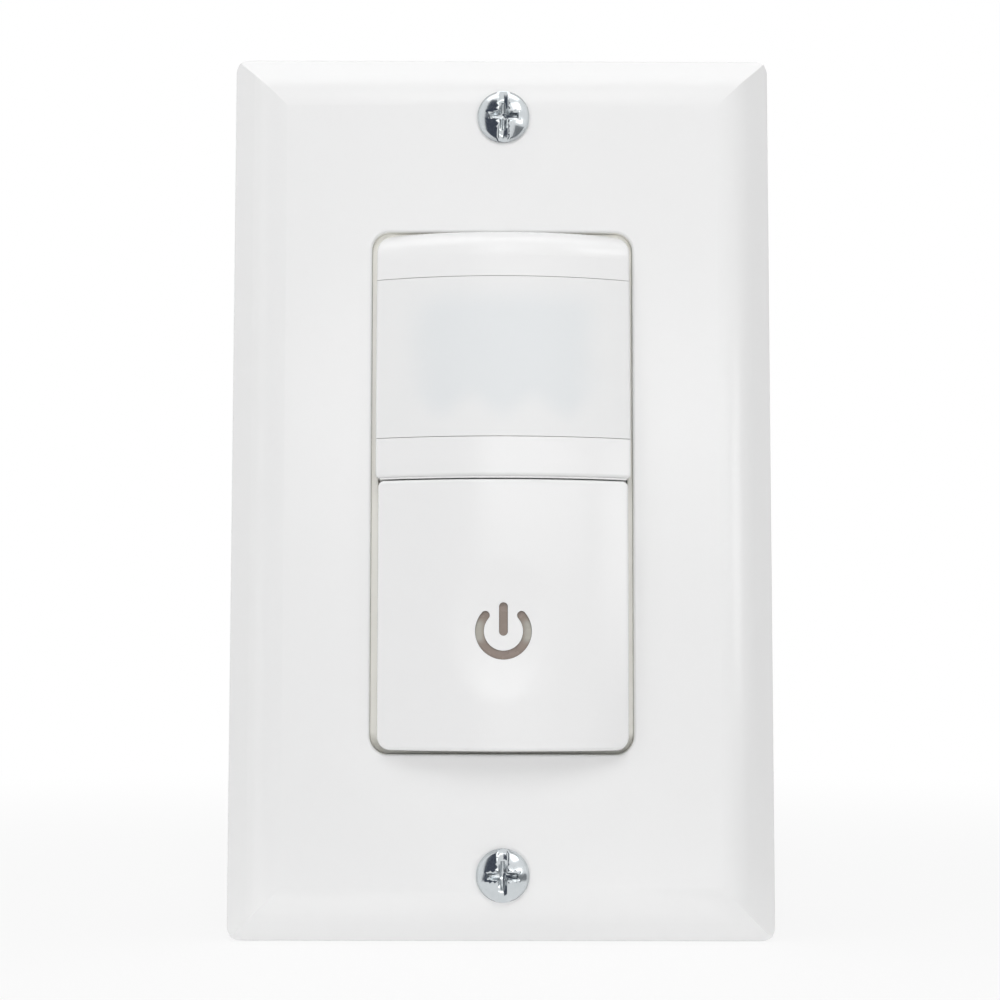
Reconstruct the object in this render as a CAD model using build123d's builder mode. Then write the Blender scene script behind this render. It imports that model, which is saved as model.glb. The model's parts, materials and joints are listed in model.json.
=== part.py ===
from build123d import *
import math
import os

os.makedirs("parts", exist_ok=True)

# Motion sensor light switch for a single wall box, with its wall plate.
# Millimetres. X runs right, Z up, and Y goes into the wall, so the front faces -Y.
# The origin lies in the wall plane, on the device's centre line and at mid height.
# Heights are measured out of the wall plane towards the room. Inside the wall they are negative.

# Wall plate
plate_side_margin = 12.725
plate_end_margin = 3.95
plate_height = 5.6
plate_wall = 2.2
plate_edge_height = 1.7
plate_bevel = 4.6
plate_blend_radius = 7.0
plate_edge_round = 0.5
plate_corner_radius = 1.9
plate_play = 0.12
opening_width = 33.4
opening_length = 66.8
opening_radius = 2.3
opening_edge_round = 0.35
hollow_edge_wall = 1.8
hollow_edge_height = 0.7
hollow_bevel = 4.4
boss_radius = 3.2
boss_gap = 0.2
plate_hole_radius = 2.0
plate_rib_thickness = 1.0
plate_rib_height = 1.5
plate_rib_inset = 7.9
plate_rib_margin = 3.0

# Mounting strap
strap_standoff = 0.15
strap_thickness = 1.4
strap_end_margin = 4.78
strap_end_width = 33.4
strap_end_radius = 3.0
strap_side_rim = 0.4
strap_end_rim = 1.5
strap_body_radius = 3.5
strap_window_side_gap = 0.8
strap_window_end_gap = 0.5
strap_window_radius = 2.5
ear_radius = 4.4
ear_side_inset = 2.9
ear_end_inset = 4.6
ear_slit_length = 7.0
ear_slit_width = 0.6
ear_slit_inset = 4.2
ground_tab_width = 8.4
ground_tab_inset = 1.0
ground_tab_depth = 9.6
ground_screw_depth = 5.4

# Screws. The wall box takes number 6 screws on the device's own spacing.
device_screw_distance = 83.34
plate_screw_distance = 96.84
screw_radius = 1.75
screw_running_gap = 0.05
plate_screw_head_radius = 3.35
plate_screw_head_height = 1.6
plate_screw_length = 12.7
device_screw_head_radius = 3.4
device_screw_head_height = 1.6
device_screw_length = 25.4
device_screw_neck_radius = 1.6
adjusting_slot_length = 7.2
adjusting_slot_width = 4.2
retainer_size = 8.0
retainer_thickness = 0.8
driver_slot_width = 1.1
driver_slot_depth = 1.15
cross_length = 4.1
cross_width = 1.05
cross_flare = 1.6
cross_depth = 1.5
cross_taper = 12.0
head_rim_share = 0.22
lamp_dome_share = 0.9
disc_round_share = 0.4
terminal_screw_head_radius = 3.5
terminal_screw_head_height = 1.7
terminal_screw_length = 3.9
ground_screw_head_radius = 3.7
ground_screw_length = 2.5
housing_screw_radius = 1.3
housing_screw_head_radius = 2.4
housing_screw_head_height = 1.7
housing_screw_tip = 0.8

# Bowed front shared by the sensor head and the paddle
bow_rise = 5.2
bow_centre = -8.0
bow_radius = 640.0
bow_sweep = 4.2
crown_radius = 42.0
bow_depth = 14.0
bow_span = 40.0

# Front frame with the sensor head
flange_side_rim = 0.3
flange_radius = 3.0
flange_thickness = 1.5
head_side_gap = 0.55
head_top_gap = 0.35
head_bottom = 1.4
head_top_radius = 2.3
head_bottom_radius = 0.6
head_roll_radius = 4.0
head_roll_lift = 0.3
head_edge_round = 0.45
head_wall = 1.5
head_ceiling = 2.5
head_side_wall = 2.35
lens_top_strip = 6.25
lens_bottom_strip = 5.05
lens_thickness = 0.9
lens_skirt_lift = 1.55
lens_seam = 0.07
lens_ledge = 1.4
lens_fit = 0.05
frame_boss_radius = 2.3
frame_boss_depth = 6.0
frame_boss_bore = 1.35
frame_post_inset = 2.5
frame_post_z = 18.0
frame_post_radius = 1.8
frame_pin_radius = 0.8
frame_pin_length = 1.9
hinge_ear_thickness = 1.4
hinge_ear_rim = 0.9

# Paddle
paddle_side_gap = 0.9
paddle_top_gap = 0.35
paddle_bottom_gap = 0.65
paddle_wall = 1.5
paddle_skirt_lift = 0.95
paddle_top_corner = 0.8
paddle_bottom_corner = 1.7
paddle_edge_round = 0.5
hinge_lift = 1.35
hinge_end_gap = 0.19
hinge_wall_gap = 0.3
hinge_pin_radius = 1.0
hinge_running_gap = 0.06
hinge_side_gap = 0.4
hinge_rib_thickness = 1.5
hinge_rib_width = 3.4
dimple_radius = 60.0
dimple_depth = 0.7
dimple_drop = 1.0
dimple_edge_round = 14.0
symbol_drop = 2.05
symbol_radius = 2.98
symbol_stroke = 1.1
symbol_gap_angle = 49.0
symbol_bar_length = 4.15
symbol_bar_rise = 1.5
symbol_recess = 0.3
symbol_fit = 0.04
guide_size = 12.0
guide_thickness = 1.6
guide_fit = 0.05
actuator_size = 4.0
actuator_gap = 0.05

# Front board and what stands on it
front_board_side_gap = 0.5
front_board_end_gap = 1.0
board_thickness = 1.6
front_board_height = -6.4
board_corner_gap = 0.4
pin_hole_gap = 0.1
sensor_can_radius = 4.1
sensor_base_radius = 4.6
sensor_base_height = 0.5
sensor_can_height = 4.2
sensor_spacer_height = 0.7
sensor_spacer_radius = 4.3
sensor_window_width = 4.0
sensor_window_length = 3.0
sensor_window_depth = 0.4
sensor_lead_radius = 0.23
sensor_lead_circle = 2.54
sensor_lead_tail = 0.4
sensor_lead_count = 3
indicator_x = 8.8
indicator_radius = 1.5
indicator_rim_radius = 1.9
indicator_rim_height = 1.0
indicator_height = 4.8
daylight_radius = 2.5
daylight_height = 2.1
daylight_track_width = 0.5
daylight_track_depth = 0.2
button_drop = 8.1
button_size = 6.2
button_base_height = 3.4
button_cover_thickness = 0.3
button_tip_lift = 0.55
button_stem_radius = 1.75
button_bore_gap = 0.1
button_bore_depth = 2.2
button_stem_seat = 1.6
button_deck_gap = 0.4
pipe_radius = 1.7
pipe_rim_radius = 2.6
pipe_rim_height = 0.8
pipe_gap = 0.3
pipe_fit = 0.05
pipe_lamp_gap = 0.2
symbol_lamp_width = 2.8
symbol_lamp_length = 3.5
symbol_lamp_height = 1.9
dial_climb = 8.5
dial_pitch = 7.4
dial_radius = 2.6
dial_lift = 0.2
dial_rise = 0.45
dial_running_gap = 0.08
dial_stem_radius = 1.3
dial_stem_gap = 0.05
dial_stem_seat = 1.2
dial_slot_length = 3.8
dial_slot_width = 0.7
dial_slot_depth = 0.8
dial_pointer_width = 0.9
trimmer_size = 6.4
trimmer_height = 4.4
trimmer_bore_depth = 1.5
chip_size = 6.5
chip_height = 1.4
chip_x = -8.3
chip_z = -21.6
chip_lead_reach = 0.9
chip_lead_width = 0.4
chip_lead_pitch = 0.8
chip_lead_thickness = 0.3
chip_lead_count = 7
small_part_length = 1.6
small_part_width = 0.8
small_part_height = 0.5
small_part_pitch = 2.6
small_grid_x = 8.2
small_grid_z = -22.0
small_upper_x = 9.0
small_upper_z = 26.5

# Rear housing
housing_end_gap = 3.67
housing_depth = 33.0
housing_wall = 2.0
housing_radius = 2.5
housing_back_round = 1.2
terminal_recess = 4.5
housing_waist_length = 50.0
housing_shoulder_gap = 1.0
housing_column_inset = 3.2
housing_column_radius = 3.3
housing_column_gap = 0.2
housing_screw_seat = 14.0
housing_screw_clearance = 0.15
housing_post_x = 12.0
housing_post_z = 24.0
housing_post_radius = 2.0
housing_post_height = 2.25
housing_rib_thickness = 2.0
back_panel_side_margin = 4.0
back_panel_end_margin = 17.0
back_panel_radius = 1.5
back_panel_depth = 0.4
strip_gauge_length = 11.0
strip_gauge_width = 2.2
strip_gauge_depth = 0.8
strip_gauge_end_margin = 9.0
overrun = 1.0

# Power board and what stands on it
power_board_slack = 8.6
power_board_side_gap = 0.3
power_board_end_gap = 2.0
sheet_side_gap = 0.4
sheet_end_gap = 0.8
sheet_thickness = 0.4
sheet_slot_length = 15.0
sheet_slot_width = 3.6
header_z = 26.0
header_pitch = 2.54
header_pins = 5
header_pin_radius = 0.35
header_length = 13.2
header_width = 2.6
header_height = 8.5
header_pin_tail = 0.8
header_pin_gap = 0.05
relay_side_inset = 2.8
relay_z = -14.0
relay_width = 15.4
relay_length = 19.4
relay_headroom = 2.6
relay_air = 1.35
relay_base_height = 1.6
relay_cover_wall = 0.8
coil_offset = -1.5
coil_flange_radius = 6.0
coil_flange_thickness = 0.9
coil_tube_radius = 2.8
coil_bore_radius = 2.1
winding_radius = 5.5
winding_gap = 0.05
core_radius = 2.0
core_rise = 0.4
yoke_thickness = 1.0
yoke_width = 9.0
yoke_gap = 0.2
armature_gap = 0.6
armature_thickness = 1.0
armature_length = 12.7
blade_width = 4.0
blade_thickness = 0.25
blade_root = 4.0
contact_offset = 6.8
contact_radius = 1.0
contact_gap = 1.05
contact_head_height = 0.35
contact_blade_thickness = 0.5
contact_blade_length = 3.0
relay_pin_radius = 0.45
relay_pin_tail = 2.2
relay_pin_x_pitch = 11.0
relay_pin_z_pitch = 14.6
big_capacitor_inset = 3.2
big_capacitor_z = -3.5
big_capacitor_radius = 4.0
capacitor_headroom = 3.0
small_capacitor_x = 6.6
small_capacitor_z = 17.0
small_capacitor_radius = 3.15
small_capacitor_height = 11.0
capacitor_neck_depth = 0.35
capacitor_neck_height = 1.0
capacitor_round = 0.6
film_capacitor_inset = 3.4
film_capacitor_z = -21.6
film_capacitor_width = 6.0
film_capacitor_length = 13.0
film_capacitor_height = 12.0
film_capacitor_round = 0.5
varistor_x = -7.6
varistor_z = 2.4
varistor_radius = 4.5
varistor_thickness = 3.8
varistor_lift = 1.4
lead_radius = 0.4
lead_pitch = 5.0
rectifier_x = 7.4
rectifier_z = 7.4
rectifier_width = 8.4
rectifier_length = 6.4
rectifier_height = 3.2
rectifier_chamfer = 0.5
fuse_x = -5.8
fuse_z = 9.8
fuse_radius = 1.8
fuse_length = 8.6
fuse_lift = 0.3
fuse_lead_reach = 1.2
regulator_x = -4.6
regulator_z = 16.6
regulator_radius = 2.3
regulator_flat = 1.3
regulator_height = 4.8
regulator_lift = 1.6
regulator_lead_pitch = 1.27
regulator_lead_radius = 0.25

# Side terminals
terminal_z = 10.5
terminal_plate_width = 9.0
terminal_foot_gap = 1.5
terminal_shoulder_gap = 1.5
terminal_plate_thickness = 1.2
terminal_tongue_width = 4.0
terminal_tongue_lap = 2.1
terminal_clamp_size = 7.6
terminal_clamp_thickness = 1.0
terminal_slot_gap = 0.1

# Worked-out widths, from the boards outwards
power_board_width = relay_width + film_capacitor_width + power_board_slack
housing_waist_width = power_board_width + 2 * (power_board_side_gap + housing_wall)
housing_width = housing_waist_width + 2 * terminal_recess
housing_length = device_screw_distance - retainer_size - 2 * housing_end_gap
flange_width = housing_width - 2 * flange_side_rim
flange_length = housing_length
strap_body_width = housing_width + 2 * strap_side_rim
strap_body_length = housing_length + 2 * strap_end_rim
strap_length = plate_screw_distance + 2 * strap_end_margin
plate_width = strap_body_width + 2 * plate_side_margin
plate_length = strap_length + 2 * plate_end_margin
front_board_width = housing_width - 2 * (housing_wall + front_board_side_gap)
front_board_length = housing_length - 2 * (housing_wall + front_board_end_gap)
power_board_length = housing_length - 2 * (housing_wall + power_board_end_gap)
sheet_width = housing_width - 2 * (housing_wall + sheet_side_gap)
sheet_length = housing_length - 2 * (housing_wall + sheet_end_gap)
head_width = opening_width - 2 * head_side_gap
paddle_width = opening_width - 2 * paddle_side_gap

# Worked-out heights
strap_front = strap_standoff + strap_thickness
flange_front = strap_front + flange_thickness
bow_peak = plate_height + bow_rise
lens_skirt_height = flange_front + lens_skirt_lift
paddle_skirt_height = flange_front + paddle_skirt_lift
hinge_height = flange_front + hinge_lift
button_tip_height = flange_front + button_tip_lift
dial_height = strap_front + dial_lift
front_board_back = front_board_height - board_thickness
housing_back = strap_standoff - housing_depth
housing_floor = housing_back + housing_wall
housing_shoulder = front_board_back - housing_shoulder_gap
housing_column_top = -(frame_boss_depth + housing_column_gap)
housing_screw_length = housing_screw_seat - housing_screw_tip
power_board_back = housing_floor + housing_post_height
power_board_height = power_board_back + board_thickness
relay_height = housing_shoulder - power_board_height - relay_headroom
big_capacitor_height = housing_shoulder - power_board_height - capacitor_headroom
terminal_plate_foot = power_board_height + terminal_foot_gap
terminal_plate_top = housing_shoulder - housing_wall - terminal_shoulder_gap
terminal_plate_length = terminal_plate_top - terminal_plate_foot
terminal_screw_height = (terminal_plate_top + terminal_plate_foot) / 2
tongue_middle = power_board_height + terminal_plate_thickness / 2

# Worked-out places
plate_screw_z = plate_screw_distance / 2
device_screw_z = device_screw_distance / 2
plate_rib_x = plate_width / 2 - plate_rib_inset
plate_rib_z = opening_length / 2 + plate_rib_margin
ear_x = strap_end_width / 2 - ear_side_inset
ear_z = strap_length / 2 - ear_end_inset
ear_slit_x = ear_x - ear_slit_inset
ground_tab_x = ground_tab_inset + ground_tab_width / 2 - strap_body_width / 2
head_top = opening_length / 2 - head_top_gap
head_length = head_top - head_bottom
head_middle = (head_top + head_bottom) / 2
lens_top = head_top - lens_top_strip
lens_bottom = head_bottom + lens_bottom_strip
lens_length = lens_top - lens_bottom
lens_middle = (lens_top + lens_bottom) / 2
sensor_z = lens_middle
paddle_top = head_bottom - paddle_top_gap
paddle_bottom = paddle_bottom_gap - opening_length / 2
paddle_length = paddle_top - paddle_bottom
paddle_middle = (paddle_top + paddle_bottom) / 2
hinge_ear_radius = hinge_pin_radius + hinge_running_gap + hinge_ear_rim
hinge_ear_x = paddle_width / 2 - paddle_wall - hinge_wall_gap - hinge_ear_thickness / 2
hinge_z = paddle_top - paddle_wall - hinge_end_gap - hinge_ear_radius
symbol_z = paddle_middle - symbol_drop
button_z = symbol_z - button_drop
dial_z = symbol_z + dial_climb
frame_boss_x = housing_width / 2 - housing_wall - housing_column_inset
frame_boss_z = housing_length / 2 - housing_wall - housing_column_inset
frame_post_x = front_board_width / 2 - frame_post_inset
board_corner_cut = housing_column_radius + board_corner_gap
strap_window_width = 2 * (frame_post_x + frame_post_radius + strap_window_side_gap)
strap_window_length = 2 * (frame_boss_z + frame_boss_radius + strap_window_end_gap)
relay_x = relay_side_inset + relay_width / 2 - power_board_width / 2
big_capacitor_x = power_board_width / 2 - big_capacitor_inset - big_capacitor_radius
film_capacitor_x = power_board_width / 2 - film_capacitor_inset - film_capacitor_width / 2
terminal_tongue_reach = power_board_width / 2 - terminal_tongue_lap
plate_screw_places = [(0, 0, plate_screw_z), (0, 0, -plate_screw_z)]
device_screw_places = [(0, 0, device_screw_z), (0, 0, -device_screw_z)]
boss_places = [
    (x * frame_boss_x, z * frame_boss_z) for x in (-1, 1) for z in (-1, 1)
]
post_places = [
    (x * frame_post_x, z * frame_post_z) for x in (-1, 1) for z in (-1, 1)
]
terminal_places = [(-1, terminal_z), (-1, -terminal_z), (1, -terminal_z)]
header_places = [
    ((i - (header_pins - 1) / 2) * header_pitch, header_z) for i in range(header_pins)
]
dial_places = {"time_dial": -dial_pitch, "light_dial": 0, "range_dial": dial_pitch}


def front(height):
    """Plane parallel to the wall, drawn on as seen from the room."""
    return Plane.XZ.offset(height)


def side(x):
    """Plane square to X, drawn on with Y to the right and Z up."""
    return Plane.YZ.offset(x)


def front_height(x, z):
    """Height of the bowed front surface over the wall plane."""
    crown_drop = crown_radius - math.sqrt(crown_radius**2 - x**2)
    return bow_peak - crown_drop - (z - bow_centre) ** 2 / (2 * bow_radius)


def bowed_slab(drop):
    """Solid behind the bowed front surface, set back from it by a drop."""
    axis_y = bow_radius - bow_peak
    tilt = math.radians(bow_sweep)
    start = Plane(
        origin=(0, axis_y, bow_centre),
        x_dir=(1, 0, 0),
        z_dir=(0, math.sin(tilt), math.cos(tilt)),
    )
    with BuildPart() as slab:
        with BuildSketch(start):
            with Locations((0, crown_radius - bow_radius)):
                Circle(crown_radius - drop)
            with Locations((0, bow_depth / 2 - bow_radius)):
                Rectangle(bow_span, bow_depth, mode=Mode.INTERSECT)
        revolve(
            axis=Axis((0, axis_y, bow_centre), (1, 0, 0)),
            revolution_arc=2 * bow_sweep,
        )
    return slab.part


def machine_screw(head_radius, head_height, shank_radius, length):
    """Domed screw with its seat at height 0, its head towards the room, a slot and a flared cross."""
    rim = head_height * head_rim_share
    dome = head_height - rim
    dome_radius = (head_radius**2 + dome**2) / (2 * dome)
    with BuildPart() as screw:
        with BuildSketch(side(0)):
            with BuildLine():
                Polyline((0, 0), (0, head_radius), (-rim, head_radius))
                RadiusArc((-rim, head_radius), (-head_height, 0), -dome_radius)
                Line((-head_height, 0), (0, 0))
            make_face()
        revolve(axis=Axis.Y)
        with BuildSketch(front(0)):
            Circle(shank_radius)
        extrude(amount=-length)
        with BuildSketch(front(head_height)):
            Rectangle(driver_slot_width, 2 * head_radius)
        extrude(amount=-driver_slot_depth, mode=Mode.SUBTRACT)
        with BuildSketch(front(head_height)):
            Rectangle(cross_length, cross_width)
            Rectangle(cross_width, cross_length)
            Rectangle(cross_flare, cross_flare, rotation=45)
        extrude(amount=-cross_depth, taper=cross_taper, mode=Mode.SUBTRACT)
    return screw.part


# Wall plate: two bevelled sections crossed and trimmed to the rounded outline
def plate_block(plane, span, run):
    """Solid bar with the plate's bevelled section, as wide as a span and as long as a run."""
    with BuildPart() as block:
        with BuildSketch(plane) as section:
            with BuildLine():
                Polyline(
                    (-span / 2, 0),
                    (-span / 2, plate_edge_height),
                    (plate_bevel - span / 2, plate_height),
                    (span / 2 - plate_bevel, plate_height),
                    (span / 2, plate_edge_height),
                    (span / 2, 0),
                    close=True,
                )
            make_face()
            fillet(section.vertices().group_by(Axis.Y)[1], plate_edge_round)
            fillet(section.vertices().group_by(Axis.Y)[-1], plate_blend_radius)
        extrude(amount=run / 2, both=True)
    return block.part


def hollow_block(plane, span, run):
    """Bar with the section of the hollow behind the plate."""
    deep = plate_height - plate_wall
    rim = span / 2 - hollow_edge_wall
    with BuildPart() as block:
        with BuildSketch(plane):
            with BuildLine():
                Polyline(
                    (-rim, -overrun),
                    (-rim, hollow_edge_height),
                    (hollow_bevel - rim, deep),
                    (rim - hollow_bevel, deep),
                    (rim, hollow_edge_height),
                    (rim, -overrun),
                    close=True,
                )
            make_face()
        extrude(amount=run / 2, both=True)
    return block.part


def plate_front(height):
    """Plane parallel to the wall, centred on the plate."""
    return Plane((-plate_play, -height, 0), x_dir=(1, 0, 0), z_dir=(0, -1, 0))


plate_across = Plane((-plate_play, 0, 0), x_dir=(-1, 0, 0), z_dir=(0, 0, 1))
plate_along = Plane((-plate_play, 0, 0), x_dir=(0, 0, 1), z_dir=(1, 0, 0))
with BuildPart() as plate_hollow:
    add(hollow_block(plate_across, plate_width, plate_length))
    add(hollow_block(plate_along, plate_length, plate_width), mode=Mode.INTERSECT)

with BuildPart() as wall_plate:
    add(plate_block(plate_across, plate_width, plate_length))
    add(plate_block(plate_along, plate_length, plate_width), mode=Mode.INTERSECT)
    with BuildSketch(plate_front(0)):
        RectangleRounded(plate_width, plate_length, plate_corner_radius)
    extrude(amount=plate_height, mode=Mode.INTERSECT)
    add(plate_hollow.part, mode=Mode.SUBTRACT)
    with BuildSketch(plate_front(strap_front + boss_gap)):
        with Locations((0, plate_screw_z), (0, -plate_screw_z)):
            Circle(boss_radius)
    extrude(amount=plate_height - plate_wall - strap_front)
    with BuildSketch(plate_front(plate_height - plate_wall - plate_rib_height)):
        with GridLocations(2 * plate_rib_x, 0, 2, 1):
            Rectangle(plate_rib_thickness, 2 * plate_rib_z)
        with GridLocations(0, 2 * plate_rib_z, 1, 2):
            Rectangle(2 * plate_rib_x + plate_rib_thickness, plate_rib_thickness)
    extrude(amount=plate_rib_height)
    with BuildSketch(plate_front(0)):
        with Locations((0, plate_screw_z), (0, -plate_screw_z)):
            Circle(plate_hole_radius)
        RectangleRounded(opening_width, opening_length, opening_radius)
    extrude(amount=plate_height, mode=Mode.SUBTRACT)
    front_face = wall_plate.faces().sort_by(Axis.Y)[0]
    opening_edge = front_face.inner_wires().sort_by(SortBy.LENGTH)[-1].edges()
    fillet(opening_edge, opening_edge_round)
wall_plate.part.label = "wall_plate"
export_step(wall_plate.part, "parts/wall_plate.step")

with BuildPart() as wall_plate_screws:
    with Locations(*[(x, y - plate_height, z) for x, y, z in plate_screw_places]):
        add(
            machine_screw(
                plate_screw_head_radius,
                plate_screw_head_height,
                screw_radius,
                plate_screw_length,
            )
        )
wall_plate_screws.part.label = "wall_plate_screws"
export_step(wall_plate_screws.part, "parts/wall_plate_screws.step")

# Mounting strap: a steel frame with long ends, break-off ears and a bent ground tab
ground_tab_z = -strap_body_length / 2 - strap_thickness / 2
with BuildPart() as mounting_strap:
    with BuildSketch(front(strap_standoff)):
        RectangleRounded(strap_body_width, strap_body_length, strap_body_radius)
        RectangleRounded(strap_end_width, strap_length, strap_end_radius)
        with GridLocations(2 * ear_x, 2 * ear_z, 2, 2):
            Circle(ear_radius)
        with Locations((ground_tab_x, ground_tab_z)):
            Rectangle(ground_tab_width, strap_thickness)
        RectangleRounded(
            strap_window_width,
            strap_window_length,
            strap_window_radius,
            mode=Mode.SUBTRACT,
        )
        with GridLocations(0, device_screw_distance, 1, 2):
            SlotOverall(
                adjusting_slot_length, adjusting_slot_width, mode=Mode.SUBTRACT
            )
        with GridLocations(0, plate_screw_distance, 1, 2):
            Circle(screw_radius + screw_running_gap, mode=Mode.SUBTRACT)
        with GridLocations(2 * ear_slit_x, 2 * ear_z, 2, 2):
            SlotOverall(
                ear_slit_length, ear_slit_width, rotation=90, mode=Mode.SUBTRACT
            )
    extrude(amount=strap_thickness)
    with BuildSketch(front(strap_standoff)):
        with Locations((ground_tab_x, ground_tab_z)):
            Rectangle(ground_tab_width, strap_thickness)
    extrude(amount=-ground_tab_depth)
    with BuildSketch(Plane.XY.offset(ground_tab_z - strap_thickness)):
        with Locations((ground_tab_x, ground_screw_depth)):
            Circle(screw_radius + screw_running_gap)
    extrude(amount=2 * strap_thickness, mode=Mode.SUBTRACT)
mounting_strap.part.label = "mounting_strap"
export_step(mounting_strap.part, "parts/mounting_strap.step")

ground_seat_z = ground_tab_z - strap_thickness / 2
with BuildPart() as ground_screw:
    with Locations(
        Location((ground_tab_x, ground_screw_depth, ground_seat_z), (90, 0, 0))
    ):
        add(
            machine_screw(
                ground_screw_head_radius,
                terminal_screw_head_height,
                screw_radius,
                ground_screw_length,
            )
        )
ground_screw.part.label = "ground_screw"
export_step(ground_screw.part, "parts/ground_screw.step")

# Device screws: a thin neck through the slot and the retainer, then the free threaded length
neck_end = strap_standoff - retainer_thickness - boss_gap
with BuildPart() as device_screw:
    add(
        machine_screw(
            device_screw_head_radius,
            device_screw_head_height,
            device_screw_neck_radius,
            strap_front - neck_end,
        )
    )
    with BuildSketch(front(neck_end - strap_front)):
        Circle(screw_radius)
    extrude(amount=-(device_screw_length - (strap_front - neck_end)))
with BuildPart() as device_mounting_screws:
    with Locations(*[(x, y - strap_front, z) for x, y, z in device_screw_places]):
        add(device_screw.part)
device_mounting_screws.part.label = "device_mounting_screws"
export_step(device_mounting_screws.part, "parts/device_mounting_screws.step")

with BuildPart() as screw_retainers:
    with BuildSketch(front(strap_standoff)):
        with GridLocations(0, device_screw_distance, 1, 2):
            Rectangle(retainer_size, retainer_size)
        with GridLocations(0, device_screw_distance, 1, 2):
            Circle(device_screw_neck_radius + screw_running_gap, mode=Mode.SUBTRACT)
    extrude(amount=-retainer_thickness)
screw_retainers.part.label = "screw_retainers"
export_step(screw_retainers.part, "parts/screw_retainers.step")

# Sensor head: a bowed block, a little too tall, whose top edge rolls back. The outline trims it.
with BuildPart() as head_block:
    with BuildSketch(front(0)):
        with Locations((0, head_middle + head_roll_lift / 2)):
            Rectangle(head_width, head_length + head_roll_lift)
    extrude(amount=bow_peak)
    add(bowed_slab(0), mode=Mode.INTERSECT)
    top_edge = head_block.edges().group_by(Axis.Z)[-1].sort_by(Axis.Y)[0]
    fillet(top_edge, head_roll_radius)

with BuildPart() as head_form:
    with BuildSketch(front(flange_front)) as head_outline:
        with Locations((0, head_middle)):
            Rectangle(head_width, head_length)
        fillet(head_outline.vertices().group_by(Axis.Y)[-1], head_top_radius)
        fillet(head_outline.vertices().group_by(Axis.Y)[0], head_bottom_radius)
    extrude(amount=bow_peak)
    add(head_block.part, mode=Mode.INTERSECT)
    fillet(
        head_form.edges().filter_by(GeomType.CIRCLE).sort_by(SortBy.LENGTH)[-2:],
        head_edge_round,
    )

with BuildPart() as lens_core:
    with BuildSketch(front(0)):
        with Locations((0, head_middle)):
            Rectangle(head_width - 2 * lens_thickness, bow_span)
    extrude(amount=bow_peak)
    add(bowed_slab(lens_thickness), mode=Mode.INTERSECT)

with BuildPart() as lens_seat_core:
    with BuildSketch(front(0)):
        with Locations((0, head_middle)):
            Rectangle(head_width - 2 * (lens_thickness + lens_fit), bow_span)
    extrude(amount=bow_peak)
    add(bowed_slab(lens_thickness + lens_fit), mode=Mode.INTERSECT)

with BuildPart() as lens_zone:
    with BuildSketch(front(lens_skirt_height - lens_fit)):
        with Locations((0, lens_middle)):
            Rectangle(bow_span, lens_length + 2 * lens_seam)
    extrude(amount=bow_peak)
    add(lens_seat_core.part, mode=Mode.SUBTRACT)

with BuildPart() as head_cavity:
    with BuildSketch(front(0)):
        with Locations((0, head_middle)):
            Rectangle(head_width - 2 * head_side_wall, head_length - 2 * head_wall)
    extrude(amount=bow_peak)
    add(bowed_slab(head_ceiling), mode=Mode.INTERSECT)
    with BuildSketch(front(flange_front)):
        with Locations((0, lens_middle)):
            Rectangle(head_width - 2 * head_side_wall, lens_length - 2 * lens_ledge)
    extrude(amount=bow_peak)

# Front frame: flange, sensor head, paddle bearings, and the posts that carry the front board
with BuildPart() as front_frame:
    with BuildSketch(front(strap_front)):
        RectangleRounded(flange_width, flange_length, flange_radius)
    extrude(amount=flange_thickness)
    add(head_form.part)
    add(lens_zone.part, mode=Mode.SUBTRACT)
    add(head_cavity.part, mode=Mode.SUBTRACT)
    with BuildSketch(front(strap_front)):
        with Locations(*boss_places):
            Circle(frame_boss_radius)
    extrude(amount=-(strap_front + frame_boss_depth))
    with BuildSketch(front(-frame_boss_depth)):
        with Locations(*boss_places):
            Circle(frame_boss_bore)
    extrude(amount=frame_boss_depth + strap_front, mode=Mode.SUBTRACT)
    with BuildSketch(front(strap_front)):
        with Locations(*post_places):
            Circle(frame_post_radius)
    extrude(amount=front_board_height - strap_front)
    with BuildSketch(front(front_board_height)):
        with Locations(*post_places):
            Circle(frame_pin_radius)
    extrude(amount=-frame_pin_length)
    for ear_middle in (-hinge_ear_x, hinge_ear_x):
        with BuildSketch(side(ear_middle - hinge_ear_thickness / 2)):
            with Locations((-hinge_height, hinge_z)):
                Circle(hinge_ear_radius)
            with Locations((-(flange_front + hinge_height) / 2, hinge_z)):
                Rectangle(hinge_height - flange_front, 2 * hinge_ear_radius)
            with Locations((-hinge_height, hinge_z)):
                Circle(hinge_pin_radius + hinge_running_gap, mode=Mode.SUBTRACT)
        extrude(amount=hinge_ear_thickness)
    with BuildSketch(front(strap_front)):
        with Locations(*[(x, dial_z) for x in dial_places.values()]):
            Circle(dial_radius + dial_running_gap)
        with Locations((0, symbol_z)):
            Circle(pipe_radius + pipe_fit)
        with Locations((0, button_z)):
            Circle(button_stem_radius + button_deck_gap)
    extrude(amount=flange_thickness, mode=Mode.SUBTRACT)
front_frame.part.label = "front_frame"
export_step(front_frame.part, "parts/front_frame.step")

# Lens: a bowed milky cap, as wide as the head, seated on the frame's ledges
with BuildPart() as pir_lens:
    with BuildSketch(front(lens_skirt_height)):
        with Locations((0, lens_middle)):
            Rectangle(bow_span, lens_length)
    extrude(amount=bow_peak)
    add(head_form.part, mode=Mode.INTERSECT)
    add(lens_core.part, mode=Mode.SUBTRACT)
pir_lens.part.label = "pir_lens"
export_step(pir_lens.part, "parts/pir_lens.step")

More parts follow.
